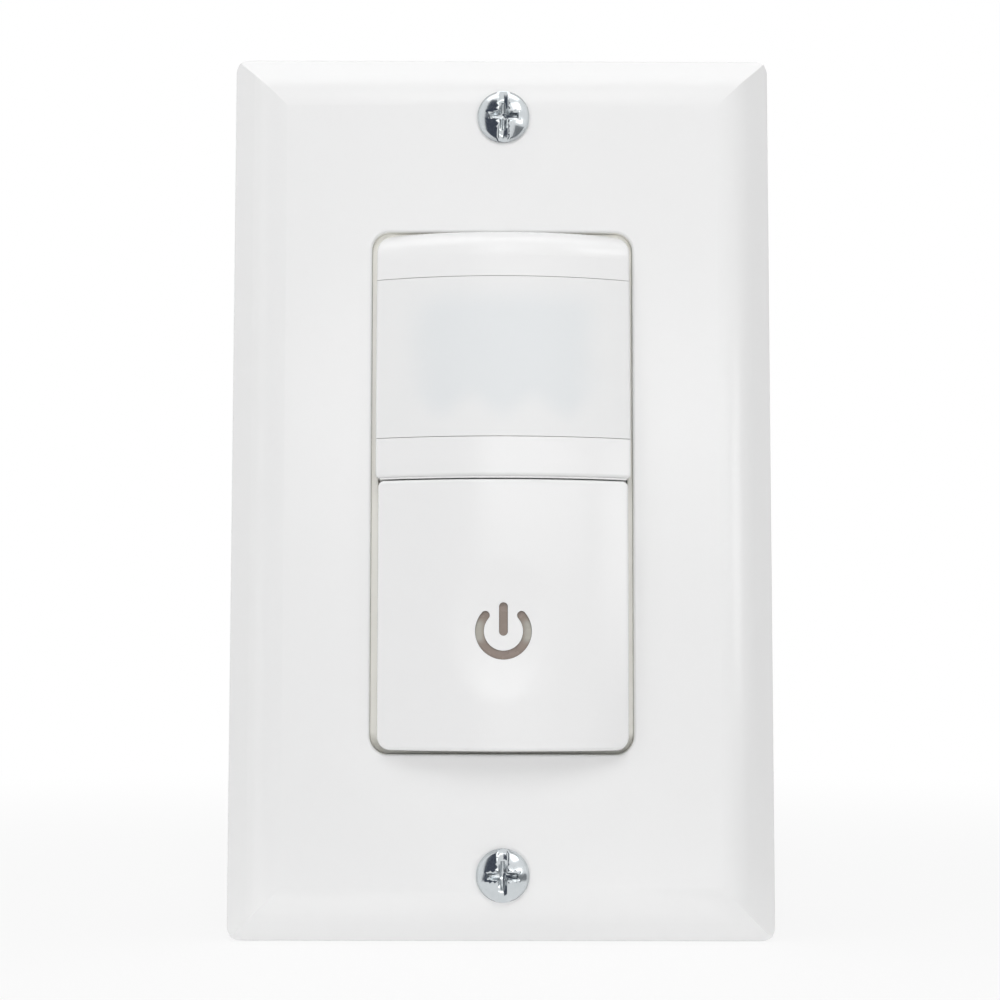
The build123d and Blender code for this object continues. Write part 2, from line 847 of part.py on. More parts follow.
# Paddle: bowed shell with a finger dimple, a pierced symbol and a hinge along its top edge
with BuildPart() as paddle_inside:
    with BuildSketch(front(0)):
        with Locations((0, paddle_middle)):
            RectangleRounded(
                paddle_width - 2 * paddle_wall,
                paddle_length - 2 * paddle_wall,
                paddle_top_corner,
            )
    extrude(amount=bow_peak)
    add(bowed_slab(paddle_wall), mode=Mode.INTERSECT)


def power_symbol(grow):
    """Broken ring and upright bar with round ends, drawn in the open sketch."""
    half = symbol_stroke / 2 + grow
    reach = 2 * symbol_radius
    gap = math.radians(symbol_gap_angle)
    across, up = math.sin(gap), math.cos(gap)
    with Locations((0, symbol_z)):
        Circle(symbol_radius + half)
        Circle(symbol_radius - half, mode=Mode.SUBTRACT)
        Polygon(
            (0, 0),
            (reach * across, reach * up),
            (-reach * across, reach * up),
            align=None,
            mode=Mode.SUBTRACT,
        )
        with Locations(
            (symbol_radius * across, symbol_radius * up),
            (-symbol_radius * across, symbol_radius * up),
        ):
            Circle(half)
        with Locations((0, symbol_bar_rise)):
            SlotOverall(symbol_bar_length + 2 * grow, 2 * half, rotation=90)


dimple_floor = front_height(0, symbol_z) - dimple_depth
with BuildPart() as paddle:
    with BuildSketch(front(paddle_skirt_height)) as paddle_outline:
        with Locations((0, paddle_middle)):
            Rectangle(paddle_width, paddle_length)
        fillet(paddle_outline.vertices().group_by(Axis.Y)[-1], paddle_top_corner)
        fillet(paddle_outline.vertices().group_by(Axis.Y)[0], paddle_bottom_corner)
    extrude(amount=bow_peak)
    add(bowed_slab(0), mode=Mode.INTERSECT)
    fillet(paddle.faces().sort_by(Axis.Y)[0].outer_wire().edges(), paddle_edge_round)
    with Locations((0, -(dimple_floor + dimple_radius), symbol_z - dimple_drop)):
        Sphere(dimple_radius, mode=Mode.SUBTRACT)
    fillet(paddle.edges(Select.LAST), dimple_edge_round)
    add(paddle_inside.part, mode=Mode.SUBTRACT)
    for rib_side in (-1, 1):
        rib_outside = hinge_ear_x - hinge_ear_thickness / 2 - hinge_side_gap
        rib_middle = rib_side * (rib_outside - hinge_rib_thickness / 2)
        rib_top = front_height(rib_outside, hinge_z) - paddle_wall / 2
        with BuildSketch(front(hinge_height - hinge_pin_radius)):
            with Locations((rib_middle, hinge_z)):
                Rectangle(hinge_rib_thickness, hinge_rib_width)
        extrude(amount=rib_top - (hinge_height - hinge_pin_radius))
        with BuildSketch(side(rib_middle)):
            with Locations((-hinge_height, hinge_z)):
                Circle(hinge_pin_radius)
        extrude(amount=rib_side * (hinge_ear_x + hinge_ear_thickness / 2 - abs(rib_middle)))
    with BuildSketch(front(button_tip_height + actuator_gap)):
        with Locations((0, button_z)):
            Rectangle(actuator_size, actuator_size)
    extrude(
        amount=front_height(0, button_z)
        - paddle_wall / 2
        - button_tip_height
        - actuator_gap
    )
    with BuildSketch(front(dimple_floor - paddle_wall)):
        power_symbol(0)
    extrude(amount=bow_peak, mode=Mode.SUBTRACT)
paddle.part.label = "paddle"
export_step(paddle.part, "parts/paddle.step")

# Light guide behind the paddle's front wall, with the symbol standing up into the pierced slots
guide_back = front_height(guide_size / 2, symbol_z) - paddle_wall - guide_thickness
with BuildPart() as paddle_light_guide:
    with BuildSketch(front(guide_back)):
        with Locations((0, symbol_z)):
            Rectangle(guide_size, guide_size)
    extrude(amount=bow_peak)
    add(bowed_slab(paddle_wall + guide_fit), mode=Mode.INTERSECT)
    with BuildSketch(front(guide_back)):
        power_symbol(-symbol_fit)
    extrude(amount=dimple_floor - symbol_recess - guide_back)
paddle_light_guide.part.label = "paddle_light_guide"
export_step(paddle_light_guide.part, "parts/paddle_light_guide.step")

# Front board with its cut corners, stake holes and pin holes
with BuildPart() as front_board:
    with BuildSketch(front(front_board_back)):
        Rectangle(front_board_width, front_board_length)
        with Locations(*boss_places):
            Circle(board_corner_cut, mode=Mode.SUBTRACT)
        with Locations(*post_places):
            Circle(frame_pin_radius + pin_hole_gap, mode=Mode.SUBTRACT)
        with Locations(*header_places):
            Circle(header_pin_radius + pin_hole_gap, mode=Mode.SUBTRACT)
        with Locations((0, sensor_z)):
            with PolarLocations(sensor_lead_circle, sensor_lead_count):
                Circle(sensor_lead_radius + pin_hole_gap, mode=Mode.SUBTRACT)
    extrude(amount=board_thickness)
front_board.part.label = "front_board"
export_step(front_board.part, "parts/front_board.step")

# Motion sensor: a metal can on a spacer, with a dark window and three leads through the board
sensor_seat = front_board_height + sensor_spacer_height
with BuildPart() as sensor_spacer:
    with BuildSketch(front(front_board_height)):
        with Locations((0, sensor_z)):
            Circle(sensor_spacer_radius)
            with PolarLocations(sensor_lead_circle, sensor_lead_count):
                Circle(sensor_lead_radius + pin_hole_gap, mode=Mode.SUBTRACT)
    extrude(amount=sensor_spacer_height)
sensor_spacer.part.label = "sensor_spacer"
export_step(sensor_spacer.part, "parts/sensor_spacer.step")

with BuildPart() as pir_sensor_can:
    with BuildSketch(front(sensor_seat)):
        with Locations((0, sensor_z)):
            Circle(sensor_base_radius)
    extrude(amount=sensor_base_height)
    with BuildSketch(front(sensor_seat)):
        with Locations((0, sensor_z)):
            Circle(sensor_can_radius)
    extrude(amount=sensor_can_height)
    fillet(
        pir_sensor_can.faces().sort_by(Axis.Y)[0].outer_wire().edges(),
        sensor_base_height,
    )
    with BuildSketch(front(sensor_seat + sensor_can_height)):
        with Locations((0, sensor_z)):
            Rectangle(sensor_window_width, sensor_window_length)
    extrude(amount=-sensor_window_depth, mode=Mode.SUBTRACT)
pir_sensor_can.part.label = "pir_sensor_can"
export_step(pir_sensor_can.part, "parts/pir_sensor_can.step")

with BuildPart() as pir_sensor_window:
    with BuildSketch(front(sensor_seat + sensor_can_height - sensor_window_depth)):
        with Locations((0, sensor_z)):
            Rectangle(sensor_window_width, sensor_window_length)
    extrude(amount=sensor_window_depth / 2)
pir_sensor_window.part.label = "pir_sensor_window"
export_step(pir_sensor_window.part, "parts/pir_sensor_window.step")

with BuildPart() as pir_sensor_leads:
    with BuildSketch(front(sensor_seat)):
        with Locations((0, sensor_z)):
            with PolarLocations(sensor_lead_circle, sensor_lead_count):
                Circle(sensor_lead_radius)
    extrude(amount=-(sensor_spacer_height + board_thickness + sensor_lead_tail))
pir_sensor_leads.part.label = "pir_sensor_leads"
export_step(pir_sensor_leads.part, "parts/pir_sensor_leads.step")

# Indicator lamp and daylight cell beside the sensor
with BuildPart() as motion_indicator:
    with BuildSketch(front(front_board_height)):
        with Locations((indicator_x, sensor_z)):
            Circle(indicator_rim_radius)
    extrude(amount=indicator_rim_height)
    with BuildSketch(front(front_board_height)):
        with Locations((indicator_x, sensor_z)):
            Circle(indicator_radius)
    extrude(amount=indicator_height)
    fillet(
        motion_indicator.faces().sort_by(Axis.Y)[0].edges(),
        indicator_radius * lamp_dome_share,
    )
motion_indicator.part.label = "motion_indicator"
export_step(motion_indicator.part, "parts/motion_indicator.step")

with BuildPart() as daylight_sensor:
    with BuildSketch(front(front_board_height)):
        with Locations((-indicator_x, sensor_z)):
            Circle(daylight_radius)
    extrude(amount=daylight_height)
    with BuildSketch(front(front_board_height + daylight_height)):
        with Locations((-indicator_x, sensor_z)):
            with GridLocations(0, 2 * daylight_track_width, 1, 3):
                SlotOverall(daylight_radius, daylight_track_width)
    extrude(amount=-daylight_track_depth, mode=Mode.SUBTRACT)
daylight_sensor.part.label = "daylight_sensor"
export_step(daylight_sensor.part, "parts/daylight_sensor.step")

# Push switch under the paddle: base, metal cover and long plunger
button_base_top = front_board_height + button_base_height
with BuildPart() as tact_switch_base:
    with BuildSketch(front(front_board_height)):
        with Locations((0, button_z)):
            Rectangle(button_size, button_size)
    extrude(amount=button_base_height)
    with BuildSketch(front(button_base_top)):
        with Locations((0, button_z)):
            Circle(button_stem_radius + button_bore_gap)
    extrude(amount=-button_bore_depth, mode=Mode.SUBTRACT)
tact_switch_base.part.label = "tact_switch_base"
export_step(tact_switch_base.part, "parts/tact_switch_base.step")

with BuildPart() as tact_switch_cover:
    with BuildSketch(front(button_base_top)):
        with Locations((0, button_z)):
            Rectangle(button_size, button_size)
            Circle(button_stem_radius + button_bore_gap, mode=Mode.SUBTRACT)
    extrude(amount=button_cover_thickness)
tact_switch_cover.part.label = "tact_switch_cover"
export_step(tact_switch_cover.part, "parts/tact_switch_cover.step")

with BuildPart() as tact_plunger:
    with BuildSketch(front(button_base_top - button_stem_seat)):
        with Locations((0, button_z)):
            Circle(button_stem_radius)
    extrude(amount=button_tip_height - button_base_top + button_stem_seat)
tact_plunger.part.label = "tact_plunger"
export_step(tact_plunger.part, "parts/tact_plunger.step")

# Lamp and light pipe behind the symbol
with BuildPart() as symbol_lamp:
    with BuildSketch(front(front_board_height)):
        with Locations((0, symbol_z)):
            Rectangle(symbol_lamp_width, symbol_lamp_length)
    extrude(amount=symbol_lamp_height)
symbol_lamp.part.label = "symbol_lamp"
export_step(symbol_lamp.part, "parts/symbol_lamp.step")

with BuildPart() as light_pipe:
    with BuildSketch(front(front_board_height + symbol_lamp_height + pipe_lamp_gap)):
        with Locations((0, symbol_z)):
            Circle(pipe_radius)
    extrude(
        amount=guide_back
        - pipe_gap
        - front_board_height
        - symbol_lamp_height
        - pipe_lamp_gap
    )
    with BuildSketch(front(strap_front)):
        with Locations((0, symbol_z)):
            Circle(pipe_rim_radius)
    extrude(amount=-pipe_rim_height)
light_pipe.part.label = "light_pipe"
export_step(light_pipe.part, "parts/light_pipe.step")

# Three adjusting dials under the paddle, each on a trimmer of its own
trimmer_top = front_board_height + trimmer_height
for dial_name, dial_x in dial_places.items():
    with BuildPart() as dial:
        with BuildSketch(front(dial_height)):
            with Locations((dial_x, dial_z)):
                Circle(dial_radius)
        extrude(amount=flange_front + dial_rise - dial_height)
        with BuildSketch(front(dial_height)):
            with Locations((dial_x, dial_z)):
                Circle(dial_stem_radius)
        extrude(amount=trimmer_top - dial_stem_seat - dial_height)
        with BuildSketch(front(flange_front + dial_rise)):
            with Locations((dial_x, dial_z)):
                Rectangle(dial_slot_width, dial_slot_length)
                Rectangle(dial_slot_length, dial_slot_width)
            with Locations((dial_x, dial_z + dial_slot_length / 2)):
                Rectangle(dial_pointer_width, dial_pointer_width, rotation=45)
        extrude(amount=-dial_slot_depth, mode=Mode.SUBTRACT)
    dial.part.label = dial_name
    export_step(dial.part, f"parts/{dial_name}.step")

with BuildPart() as trimmers:
    with BuildSketch(front(front_board_height)):
        with Locations(*[(x, dial_z) for x in dial_places.values()]):
            Rectangle(trimmer_size, trimmer_size)
    extrude(amount=trimmer_height)
    with BuildSketch(front(trimmer_top)):
        with Locations(*[(x, dial_z) for x in dial_places.values()]):
            Circle(dial_stem_radius + dial_stem_gap)
    extrude(amount=-trimmer_bore_depth, mode=Mode.SUBTRACT)
trimmers.part.label = "trimmers"
export_step(trimmers.part, "parts/trimmers.step")

# Controller chip with its legs, and the small parts around it
with BuildPart() as controller_chip:
    with BuildSketch(front(front_board_height)):
        with Locations((chip_x, chip_z)):
            Rectangle(chip_size, chip_size)
    extrude(amount=chip_height)
    with BuildSketch(front(front_board_height)):
        with Locations((chip_x, chip_z)):
            with GridLocations(0, chip_lead_pitch, 1, chip_lead_count):
                Rectangle(chip_size + 2 * chip_lead_reach, chip_lead_width)
            with GridLocations(chip_lead_pitch, 0, chip_lead_count, 1):
                Rectangle(chip_lead_width, chip_size + 2 * chip_lead_reach)
    extrude(amount=chip_lead_thickness)
controller_chip.part.label = "controller_chip"
export_step(controller_chip.part, "parts/controller_chip.step")

with BuildPart() as front_board_parts:
    with BuildSketch(front(front_board_height)):
        with Locations((small_grid_x, small_grid_z)):
            with GridLocations(small_part_pitch, small_part_pitch, 3, 4):
                Rectangle(small_part_width, small_part_length)
        with Locations((small_upper_x, small_upper_z), (-small_upper_x, small_upper_z)):
            with GridLocations(small_part_pitch, small_part_pitch, 2, 2):
                Rectangle(small_part_length, small_part_width)
    extrude(amount=small_part_height)
front_board_parts.part.label = "front_board_parts"
export_step(front_board_parts.part, "parts/front_board_parts.step")

# Insulating sheet that rests on the housing's shoulder between the two boards
with BuildPart() as insulating_sheet:
    with BuildSketch(front(housing_shoulder)):
        Rectangle(sheet_width, sheet_length)
        with Locations(*boss_places):
            Circle(board_corner_cut, mode=Mode.SUBTRACT)
        with Locations((0, header_z)):
            Rectangle(sheet_slot_length, sheet_slot_width, mode=Mode.SUBTRACT)
    extrude(amount=sheet_thickness)
insulating_sheet.part.label = "insulating_sheet"
export_step(insulating_sheet.part, "parts/insulating_sheet.step")

# Rear housing: a box with a narrow waist for the side terminals
with BuildPart() as rear_housing:
    with BuildSketch(front(strap_standoff)):
        RectangleRounded(housing_width, housing_length, housing_radius)
    extrude(amount=-housing_depth)
    fillet(
        rear_housing.faces().sort_by(Axis.Y)[-1].outer_wire().edges(),
        housing_back_round,
    )
    waist_depth = (housing_width - housing_waist_width) / 2
    with BuildSketch(front(housing_shoulder - housing_wall)):
        with GridLocations(housing_waist_width + waist_depth, 0, 2, 1):
            Rectangle(waist_depth, housing_waist_length)
    extrude(amount=-housing_depth, mode=Mode.SUBTRACT)
    with BuildSketch(front(housing_shoulder)):
        RectangleRounded(
            housing_waist_width - 2 * housing_wall,
            housing_length - 2 * housing_wall,
            housing_radius - housing_wall / 2,
        )
    extrude(amount=housing_floor - housing_shoulder, mode=Mode.SUBTRACT)
    with BuildSketch(front(housing_shoulder)):
        RectangleRounded(
            housing_width - 2 * housing_wall,
            housing_length - 2 * housing_wall,
            housing_radius - housing_wall / 2,
        )
    extrude(amount=-housing_shoulder + strap_standoff, mode=Mode.SUBTRACT)
    with BuildSketch(front(housing_floor)):
        with Locations(*boss_places):
            Circle(housing_column_radius)
    extrude(amount=housing_column_top - housing_floor)
    with BuildSketch(front(housing_floor)):
        with GridLocations(2 * housing_post_x, 2 * housing_post_z, 2, 2):
            Circle(housing_post_radius)
    extrude(amount=power_board_back - housing_floor)
    with BuildSketch(front(housing_back)):
        with GridLocations(housing_waist_width + waist_depth, 0, 2, 1):
            Rectangle(waist_depth, housing_rib_thickness)
    extrude(amount=housing_shoulder - housing_wall - housing_back)
    with BuildSketch(front(housing_back)):
        with Locations(*boss_places):
            Circle(housing_screw_head_radius + housing_screw_clearance)
    extrude(amount=-housing_screw_seat - housing_back, mode=Mode.SUBTRACT)
    with BuildSketch(front(housing_back)):
        with Locations(*boss_places):
            Circle(housing_screw_radius + housing_screw_clearance)
    extrude(amount=housing_depth, mode=Mode.SUBTRACT)
    with BuildSketch(front(housing_back)):
        RectangleRounded(
            housing_waist_width - 2 * back_panel_side_margin,
            housing_length - 2 * back_panel_end_margin,
            back_panel_radius,
        )
    extrude(amount=back_panel_depth, mode=Mode.SUBTRACT)
    with BuildSketch(front(housing_back)):
        with Locations((0, strip_gauge_end_margin - housing_length / 2)):
            SlotOverall(strip_gauge_length, strip_gauge_width)
    extrude(amount=strip_gauge_depth, mode=Mode.SUBTRACT)
    for terminal_side, place_z in terminal_places:
        wall_middle = terminal_side * (housing_waist_width - housing_wall) / 2
        with BuildSketch(side(wall_middle - housing_wall)):
            with Locations((-terminal_screw_height, place_z)):
                Circle(screw_radius + terminal_slot_gap)
            with Locations((-tongue_middle, place_z)):
                Rectangle(
                    terminal_plate_thickness + 2 * terminal_slot_gap,
                    terminal_tongue_width + 2 * terminal_slot_gap,
                )
        extrude(amount=2 * housing_wall, mode=Mode.SUBTRACT)
rear_housing.part.label = "rear_housing"
export_step(rear_housing.part, "parts/rear_housing.step")

housing_screw_places = [(x, housing_screw_seat, z) for x, z in boss_places]
with BuildPart() as housing_screws:
    with Locations(*[Location(place, (180, 0, 0)) for place in housing_screw_places]):
        add(
            machine_screw(
                housing_screw_head_radius,
                housing_screw_head_height,
                housing_screw_radius,
                housing_screw_length,
            )
        )
housing_screws.part.label = "housing_screws"
export_step(housing_screws.part, "parts/housing_screws.step")

# Side terminals: a brass plate with a tongue to the power board, a clamp and a screw
plate_inside = housing_waist_width / 2
plate_outside = plate_inside + terminal_plate_thickness
clamp_outside = plate_outside + terminal_clamp_thickness
with BuildPart() as terminal_plates:
    for terminal_side, place_z in terminal_places:
        with BuildSketch(side(terminal_side * plate_inside)):
            with Locations((-terminal_screw_height, place_z)):
                Rectangle(terminal_plate_length, terminal_plate_width)
            with Locations(
                (-(terminal_screw_height + power_board_height) / 2, place_z)
            ):
                Rectangle(
                    terminal_screw_height - power_board_height, terminal_tongue_width
                )
        extrude(amount=terminal_side * terminal_plate_thickness)
        with BuildSketch(front(power_board_height)):
            with Locations(
                (terminal_side * (plate_outside + terminal_tongue_reach) / 2, place_z)
            ):
                Rectangle(plate_outside - terminal_tongue_reach, terminal_tongue_width)
        extrude(amount=terminal_plate_thickness)
        with BuildSketch(side(terminal_side * plate_inside)):
            with Locations((-terminal_screw_height, place_z)):
                Circle(screw_radius + screw_running_gap)
        extrude(amount=terminal_side * terminal_plate_thickness, mode=Mode.SUBTRACT)
terminal_plates.part.label = "terminal_plates"
export_step(terminal_plates.part, "parts/terminal_plates.step")

with BuildPart() as terminal_clamps:
    for terminal_side, place_z in terminal_places:
        with BuildSketch(side(terminal_side * plate_outside)):
            with Locations((-terminal_screw_height, place_z)):
                Rectangle(terminal_clamp_size, terminal_clamp_size)
                Circle(screw_radius + terminal_slot_gap, mode=Mode.SUBTRACT)
        extrude(amount=terminal_side * terminal_clamp_thickness)
terminal_clamps.part.label = "terminal_clamps"
export_step(terminal_clamps.part, "parts/terminal_clamps.step")

terminal_screw_spots = [
    Location(
        (terminal_side * clamp_outside, -terminal_screw_height, place_z),
        (0, 0, terminal_side * 90),
    )
    for terminal_side, place_z in terminal_places
]
with BuildPart() as terminal_screws:
    with Locations(*terminal_screw_spots):
        add(
            machine_screw(
                terminal_screw_head_radius,
                terminal_screw_head_height,
                screw_radius,
                terminal_screw_length,
            )
        )
terminal_screws.part.label = "terminal_screws"
export_step(terminal_screws.part, "parts/terminal_screws.step")

# Power board with cut corners and pin holes
relay_pin_places = [
    (relay_x + x * relay_pin_x_pitch / 2, relay_z + z * relay_pin_z_pitch / 2)
    for x in (-1, 1)
    for z in (-1, 1)
]
with BuildPart() as power_board:
    with BuildSketch(front(power_board_back)):
        Rectangle(power_board_width, power_board_length)
        with Locations(*boss_places):
            Circle(board_corner_cut, mode=Mode.SUBTRACT)
        with Locations(*header_places):
            Circle(header_pin_radius + pin_hole_gap, mode=Mode.SUBTRACT)
        with Locations(*relay_pin_places):
            Circle(relay_pin_radius + pin_hole_gap, mode=Mode.SUBTRACT)
    extrude(amount=board_thickness)
power_board.part.label = "power_board"
export_step(power_board.part, "parts/power_board.step")

# Pin header that joins the two boards
with BuildPart() as board_header:
    with BuildSketch(front(power_board_height)):
        with Locations((0, header_z)):
            Rectangle(header_length, header_width)
        with Locations(*header_places):
            Circle(header_pin_radius + header_pin_gap, mode=Mode.SUBTRACT)
    extrude(amount=header_height)
board_header.part.label = "board_header"
export_step(board_header.part, "parts/board_header.step")

with BuildPart() as header_contacts:
    with BuildSketch(front(power_board_back - header_pin_tail)):
        with Locations(*header_places):
            Circle(header_pin_radius)
    extrude(amount=front_board_height - power_board_back + 2 * header_pin_tail)
header_contacts.part.label = "header_contacts"
export_step(header_contacts.part, "parts/header_contacts.step")

# Relay that switches the load, inside its own cover
relay_base_top = power_board_height + relay_base_height
coil_z = relay_z + coil_offset
coil_base = relay_base_top + yoke_thickness
coil_stack = core_rise + armature_gap + armature_thickness + blade_thickness + relay_air
coil_top = power_board_height + relay_height - relay_cover_wall - coil_stack
coil_height = coil_top - coil_base
yoke_back_z = coil_z - coil_flange_radius - yoke_gap
core_top = coil_top + core_rise
armature_back = core_top + armature_gap
armature_end_z = yoke_back_z - yoke_thickness
contact_z = relay_z + contact_offset
contact_blade_front = armature_back + armature_thickness
with BuildPart() as relay_base:
    with BuildSketch(front(power_board_height)):
        with Locations((relay_x, relay_z)):
            Rectangle(relay_width, relay_length)
    extrude(amount=relay_base_height)
relay_base.part.label = "relay_base"
export_step(relay_base.part, "parts/relay_base.step")

with BuildPart() as relay_pins:
    with BuildSketch(front(power_board_height)):
        with Locations(*relay_pin_places):
            Circle(relay_pin_radius)
    extrude(amount=-relay_pin_tail)
relay_pins.part.label = "relay_pins"
export_step(relay_pins.part, "parts/relay_pins.step")

with BuildPart() as relay_cover:
    with BuildSketch(front(relay_base_top)):
        with Locations((relay_x, relay_z)):
            Rectangle(relay_width, relay_length)
    extrude(amount=relay_height - relay_base_height)
    fillet(relay_cover.edges().group_by(Axis.Y)[0], relay_cover_wall / 2)
    with BuildSketch(front(relay_base_top)):
        with Locations((relay_x, relay_z)):
            Rectangle(
                relay_width - 2 * relay_cover_wall, relay_length - 2 * relay_cover_wall
            )
    extrude(
        amount=relay_height - relay_base_height - relay_cover_wall, mode=Mode.SUBTRACT
    )
relay_cover.part.label = "relay_cover"
export_step(relay_cover.part, "parts/relay_cover.step")

with BuildPart() as relay_core:
    with BuildSketch(front(relay_base_top)):
        with Locations((relay_x, (coil_z + core_radius + armature_end_z) / 2)):
            Rectangle(yoke_width, coil_z + core_radius - armature_end_z)
    extrude(amount=yoke_thickness)
    with BuildSketch(front(relay_base_top)):
        with Locations((relay_x, armature_end_z + yoke_thickness / 2)):
            Rectangle(yoke_width, yoke_thickness)
    extrude(amount=core_top + yoke_gap - relay_base_top)
    with BuildSketch(front(relay_base_top)):
        with Locations((relay_x, coil_z)):
            Circle(core_radius)
    extrude(amount=core_top - relay_base_top)
relay_core.part.label = "relay_core"
export_step(relay_core.part, "parts/relay_core.step")

with BuildPart() as relay_bobbin:
    with BuildSketch(front(coil_base)):
        with Locations((relay_x, coil_z)):
            Circle(coil_flange_radius)
    extrude(amount=coil_flange_thickness)
    with BuildSketch(front(coil_top)):
        with Locations((relay_x, coil_z)):
            Circle(coil_flange_radius)
    extrude(amount=-coil_flange_thickness)
    with BuildSketch(front(coil_base)):
        with Locations((relay_x, coil_z)):
            Circle(coil_tube_radius)
    extrude(amount=coil_height)
    with BuildSketch(front(coil_base)):
        with Locations((relay_x, coil_z)):
            Circle(coil_bore_radius)
    extrude(amount=coil_height, mode=Mode.SUBTRACT)
relay_bobbin.part.label = "relay_bobbin"
export_step(relay_bobbin.part, "parts/relay_bobbin.step")

with BuildPart() as relay_winding:
    with BuildSketch(front(coil_base + coil_flange_thickness + winding_gap)):
        with Locations((relay_x, coil_z)):
            Circle(winding_radius)
            Circle(coil_tube_radius + winding_gap, mode=Mode.SUBTRACT)
    extrude(amount=coil_height - 2 * coil_flange_thickness - 2 * winding_gap)
relay_winding.part.label = "relay_winding"
export_step(relay_winding.part, "parts/relay_winding.step")

with BuildPart() as relay_armature:
    with BuildSketch(front(armature_back)):
        with Locations((relay_x, armature_end_z + armature_length / 2)):
            Rectangle(yoke_width, armature_length)
    extrude(amount=armature_thickness)
relay_armature.part.label = "relay_armature"
export_step(relay_armature.part, "parts/relay_armature.step")

blade_end_z = contact_z + blade_root / 2
blade_start_z = armature_end_z + blade_root
with BuildPart() as relay_moving_contact:
    with BuildSketch(front(contact_blade_front)):
        with Locations((relay_x, (blade_start_z + blade_end_z) / 2)):
            Rectangle(blade_width, blade_end_z - blade_start_z)
    extrude(amount=blade_thickness)
    with BuildSketch(front(contact_blade_front)):
        with Locations((relay_x, contact_z)):
            Circle(contact_radius)
    extrude(amount=-armature_thickness)
relay_moving_contact.part.label = "relay_moving_contact"
export_step(relay_moving_contact.part, "parts/relay_moving_contact.step")

fixed_contact_front = armature_back - contact_gap
blade_foot_z = contact_z + contact_blade_length / 2
with BuildPart() as relay_fixed_contact:
    with BuildSketch(front(relay_base_top)):
        with Locations((relay_x, blade_foot_z - contact_blade_thickness / 2)):
            Rectangle(blade_width, contact_blade_thickness)
    extrude(amount=fixed_contact_front - contact_head_height - relay_base_top)
    with BuildSketch(front(fixed_contact_front - contact_head_height)):
        with Locations((relay_x, contact_z)):
            Rectangle(blade_width, contact_blade_length)
    extrude(amount=-contact_blade_thickness)
    with BuildSketch(front(fixed_contact_front)):
        with Locations((relay_x, contact_z)):
            Circle(contact_radius)
    extrude(amount=-(contact_head_height + contact_blade_thickness / 2))
relay_fixed_contact.part.label = "relay_fixed_contact"
export_step(relay_fixed_contact.part, "parts/relay_fixed_contact.step")


# Capacitors: cans with the rolled neck over the rubber plug
def can_capacitor(x, z, radius, height):
    with BuildPart() as can:
        with BuildSketch(front(power_board_height)):
            with Locations((x, z)):
                Circle(radius)
        extrude(amount=height)
        fillet(can.faces().sort_by(Axis.Y)[0].edges(), capacitor_round)
        with BuildSketch(front(power_board_height + capacitor_neck_height)):
            with Locations((x, z)):
                Circle(radius)
                Circle(radius - capacitor_neck_depth, mode=Mode.SUBTRACT)
        extrude(amount=capacitor_neck_height, mode=Mode.SUBTRACT)
    return can.part


with BuildPart() as electrolytic_capacitors:
    add(
        can_capacitor(
            big_capacitor_x, big_capacitor_z, big_capacitor_radius, big_capacitor_height
        )
    )
    add(
        can_capacitor(
            small_capacitor_x,
            small_capacitor_z,
            small_capacitor_radius,
            small_capacitor_height,
        )
    )
electrolytic_capacitors.part.label = "electrolytic_capacitors"
export_step(electrolytic_capacitors.part, "parts/electrolytic_capacitors.step")

with BuildPart() as film_capacitor:
    with BuildSketch(front(power_board_height)):
        with Locations((film_capacitor_x, film_capacitor_z)):
            Rectangle(film_capacitor_width, film_capacitor_length)
    extrude(amount=film_capacitor_height)
    fillet(
        film_capacitor.edges().filter_by(Axis.Y)
        + film_capacitor.edges().group_by(Axis.Y)[0],
        film_capacitor_round,
    )
film_capacitor.part.label = "film_capacitor"
export_step(film_capacitor.part, "parts/film_capacitor.step")

# Surge absorber: an upright disc on two leads
varistor_height = power_board_height + varistor_lift + varistor_radius
with BuildPart() as varistor:
    with BuildSketch(Plane.XY.offset(varistor_z - varistor_thickness / 2)):
        with Locations((varistor_x, -varistor_height)):
            Circle(varistor_radius)
    extrude(amount=varistor_thickness)
    fillet(varistor.edges(), varistor_thickness * disc_round_share)
    with BuildSketch(front(power_board_height)):
        with Locations((varistor_x, varistor_z)):
            with GridLocations(lead_pitch, 0, 2, 1):
                Circle(lead_radius)
    extrude(amount=varistor_lift + varistor_radius)
varistor.part.label = "varistor"
export_step(varistor.part, "parts/varistor.step")

with BuildPart() as bridge_rectifier:
    with BuildSketch(front(power_board_height)):
        with Locations((rectifier_x, rectifier_z)):
            Rectangle(rectifier_width, rectifier_length)
    extrude(amount=rectifier_height)
    chamfer(bridge_rectifier.edges().group_by(Axis.Y)[0], rectifier_chamfer)
bridge_rectifier.part.label = "bridge_rectifier"
export_step(bridge_rectifier.part, "parts/bridge_rectifier.step")

# Fusible resistor lying along X, with its leads bent down to the board
fuse_height = power_board_height + fuse_lift + fuse_radius
fuse_lead_x = fuse_length / 2 + fuse_lead_reach
with BuildPart() as fusible_resistor:
    with BuildSketch(side(fuse_x - fuse_length / 2)):
        with Locations((-fuse_height, fuse_z)):
            Circle(fuse_radius)
    extrude(amount=fuse_length)
    fillet(fusible_resistor.edges(), capacitor_round)
    with BuildSketch(side(fuse_x - fuse_lead_x)):
        with Locations((-fuse_height, fuse_z)):
            Circle(lead_radius)
    extrude(amount=2 * fuse_lead_x)
    with BuildSketch(front(power_board_height)):
        with Locations((fuse_x, fuse_z)):
            with GridLocations(2 * (fuse_lead_x - lead_radius), 0, 2, 1):
                Circle(lead_radius)
    extrude(amount=fuse_height - power_board_height)
fusible_resistor.part.label = "fusible_resistor"
export_step(fusible_resistor.part, "parts/fusible_resistor.step")

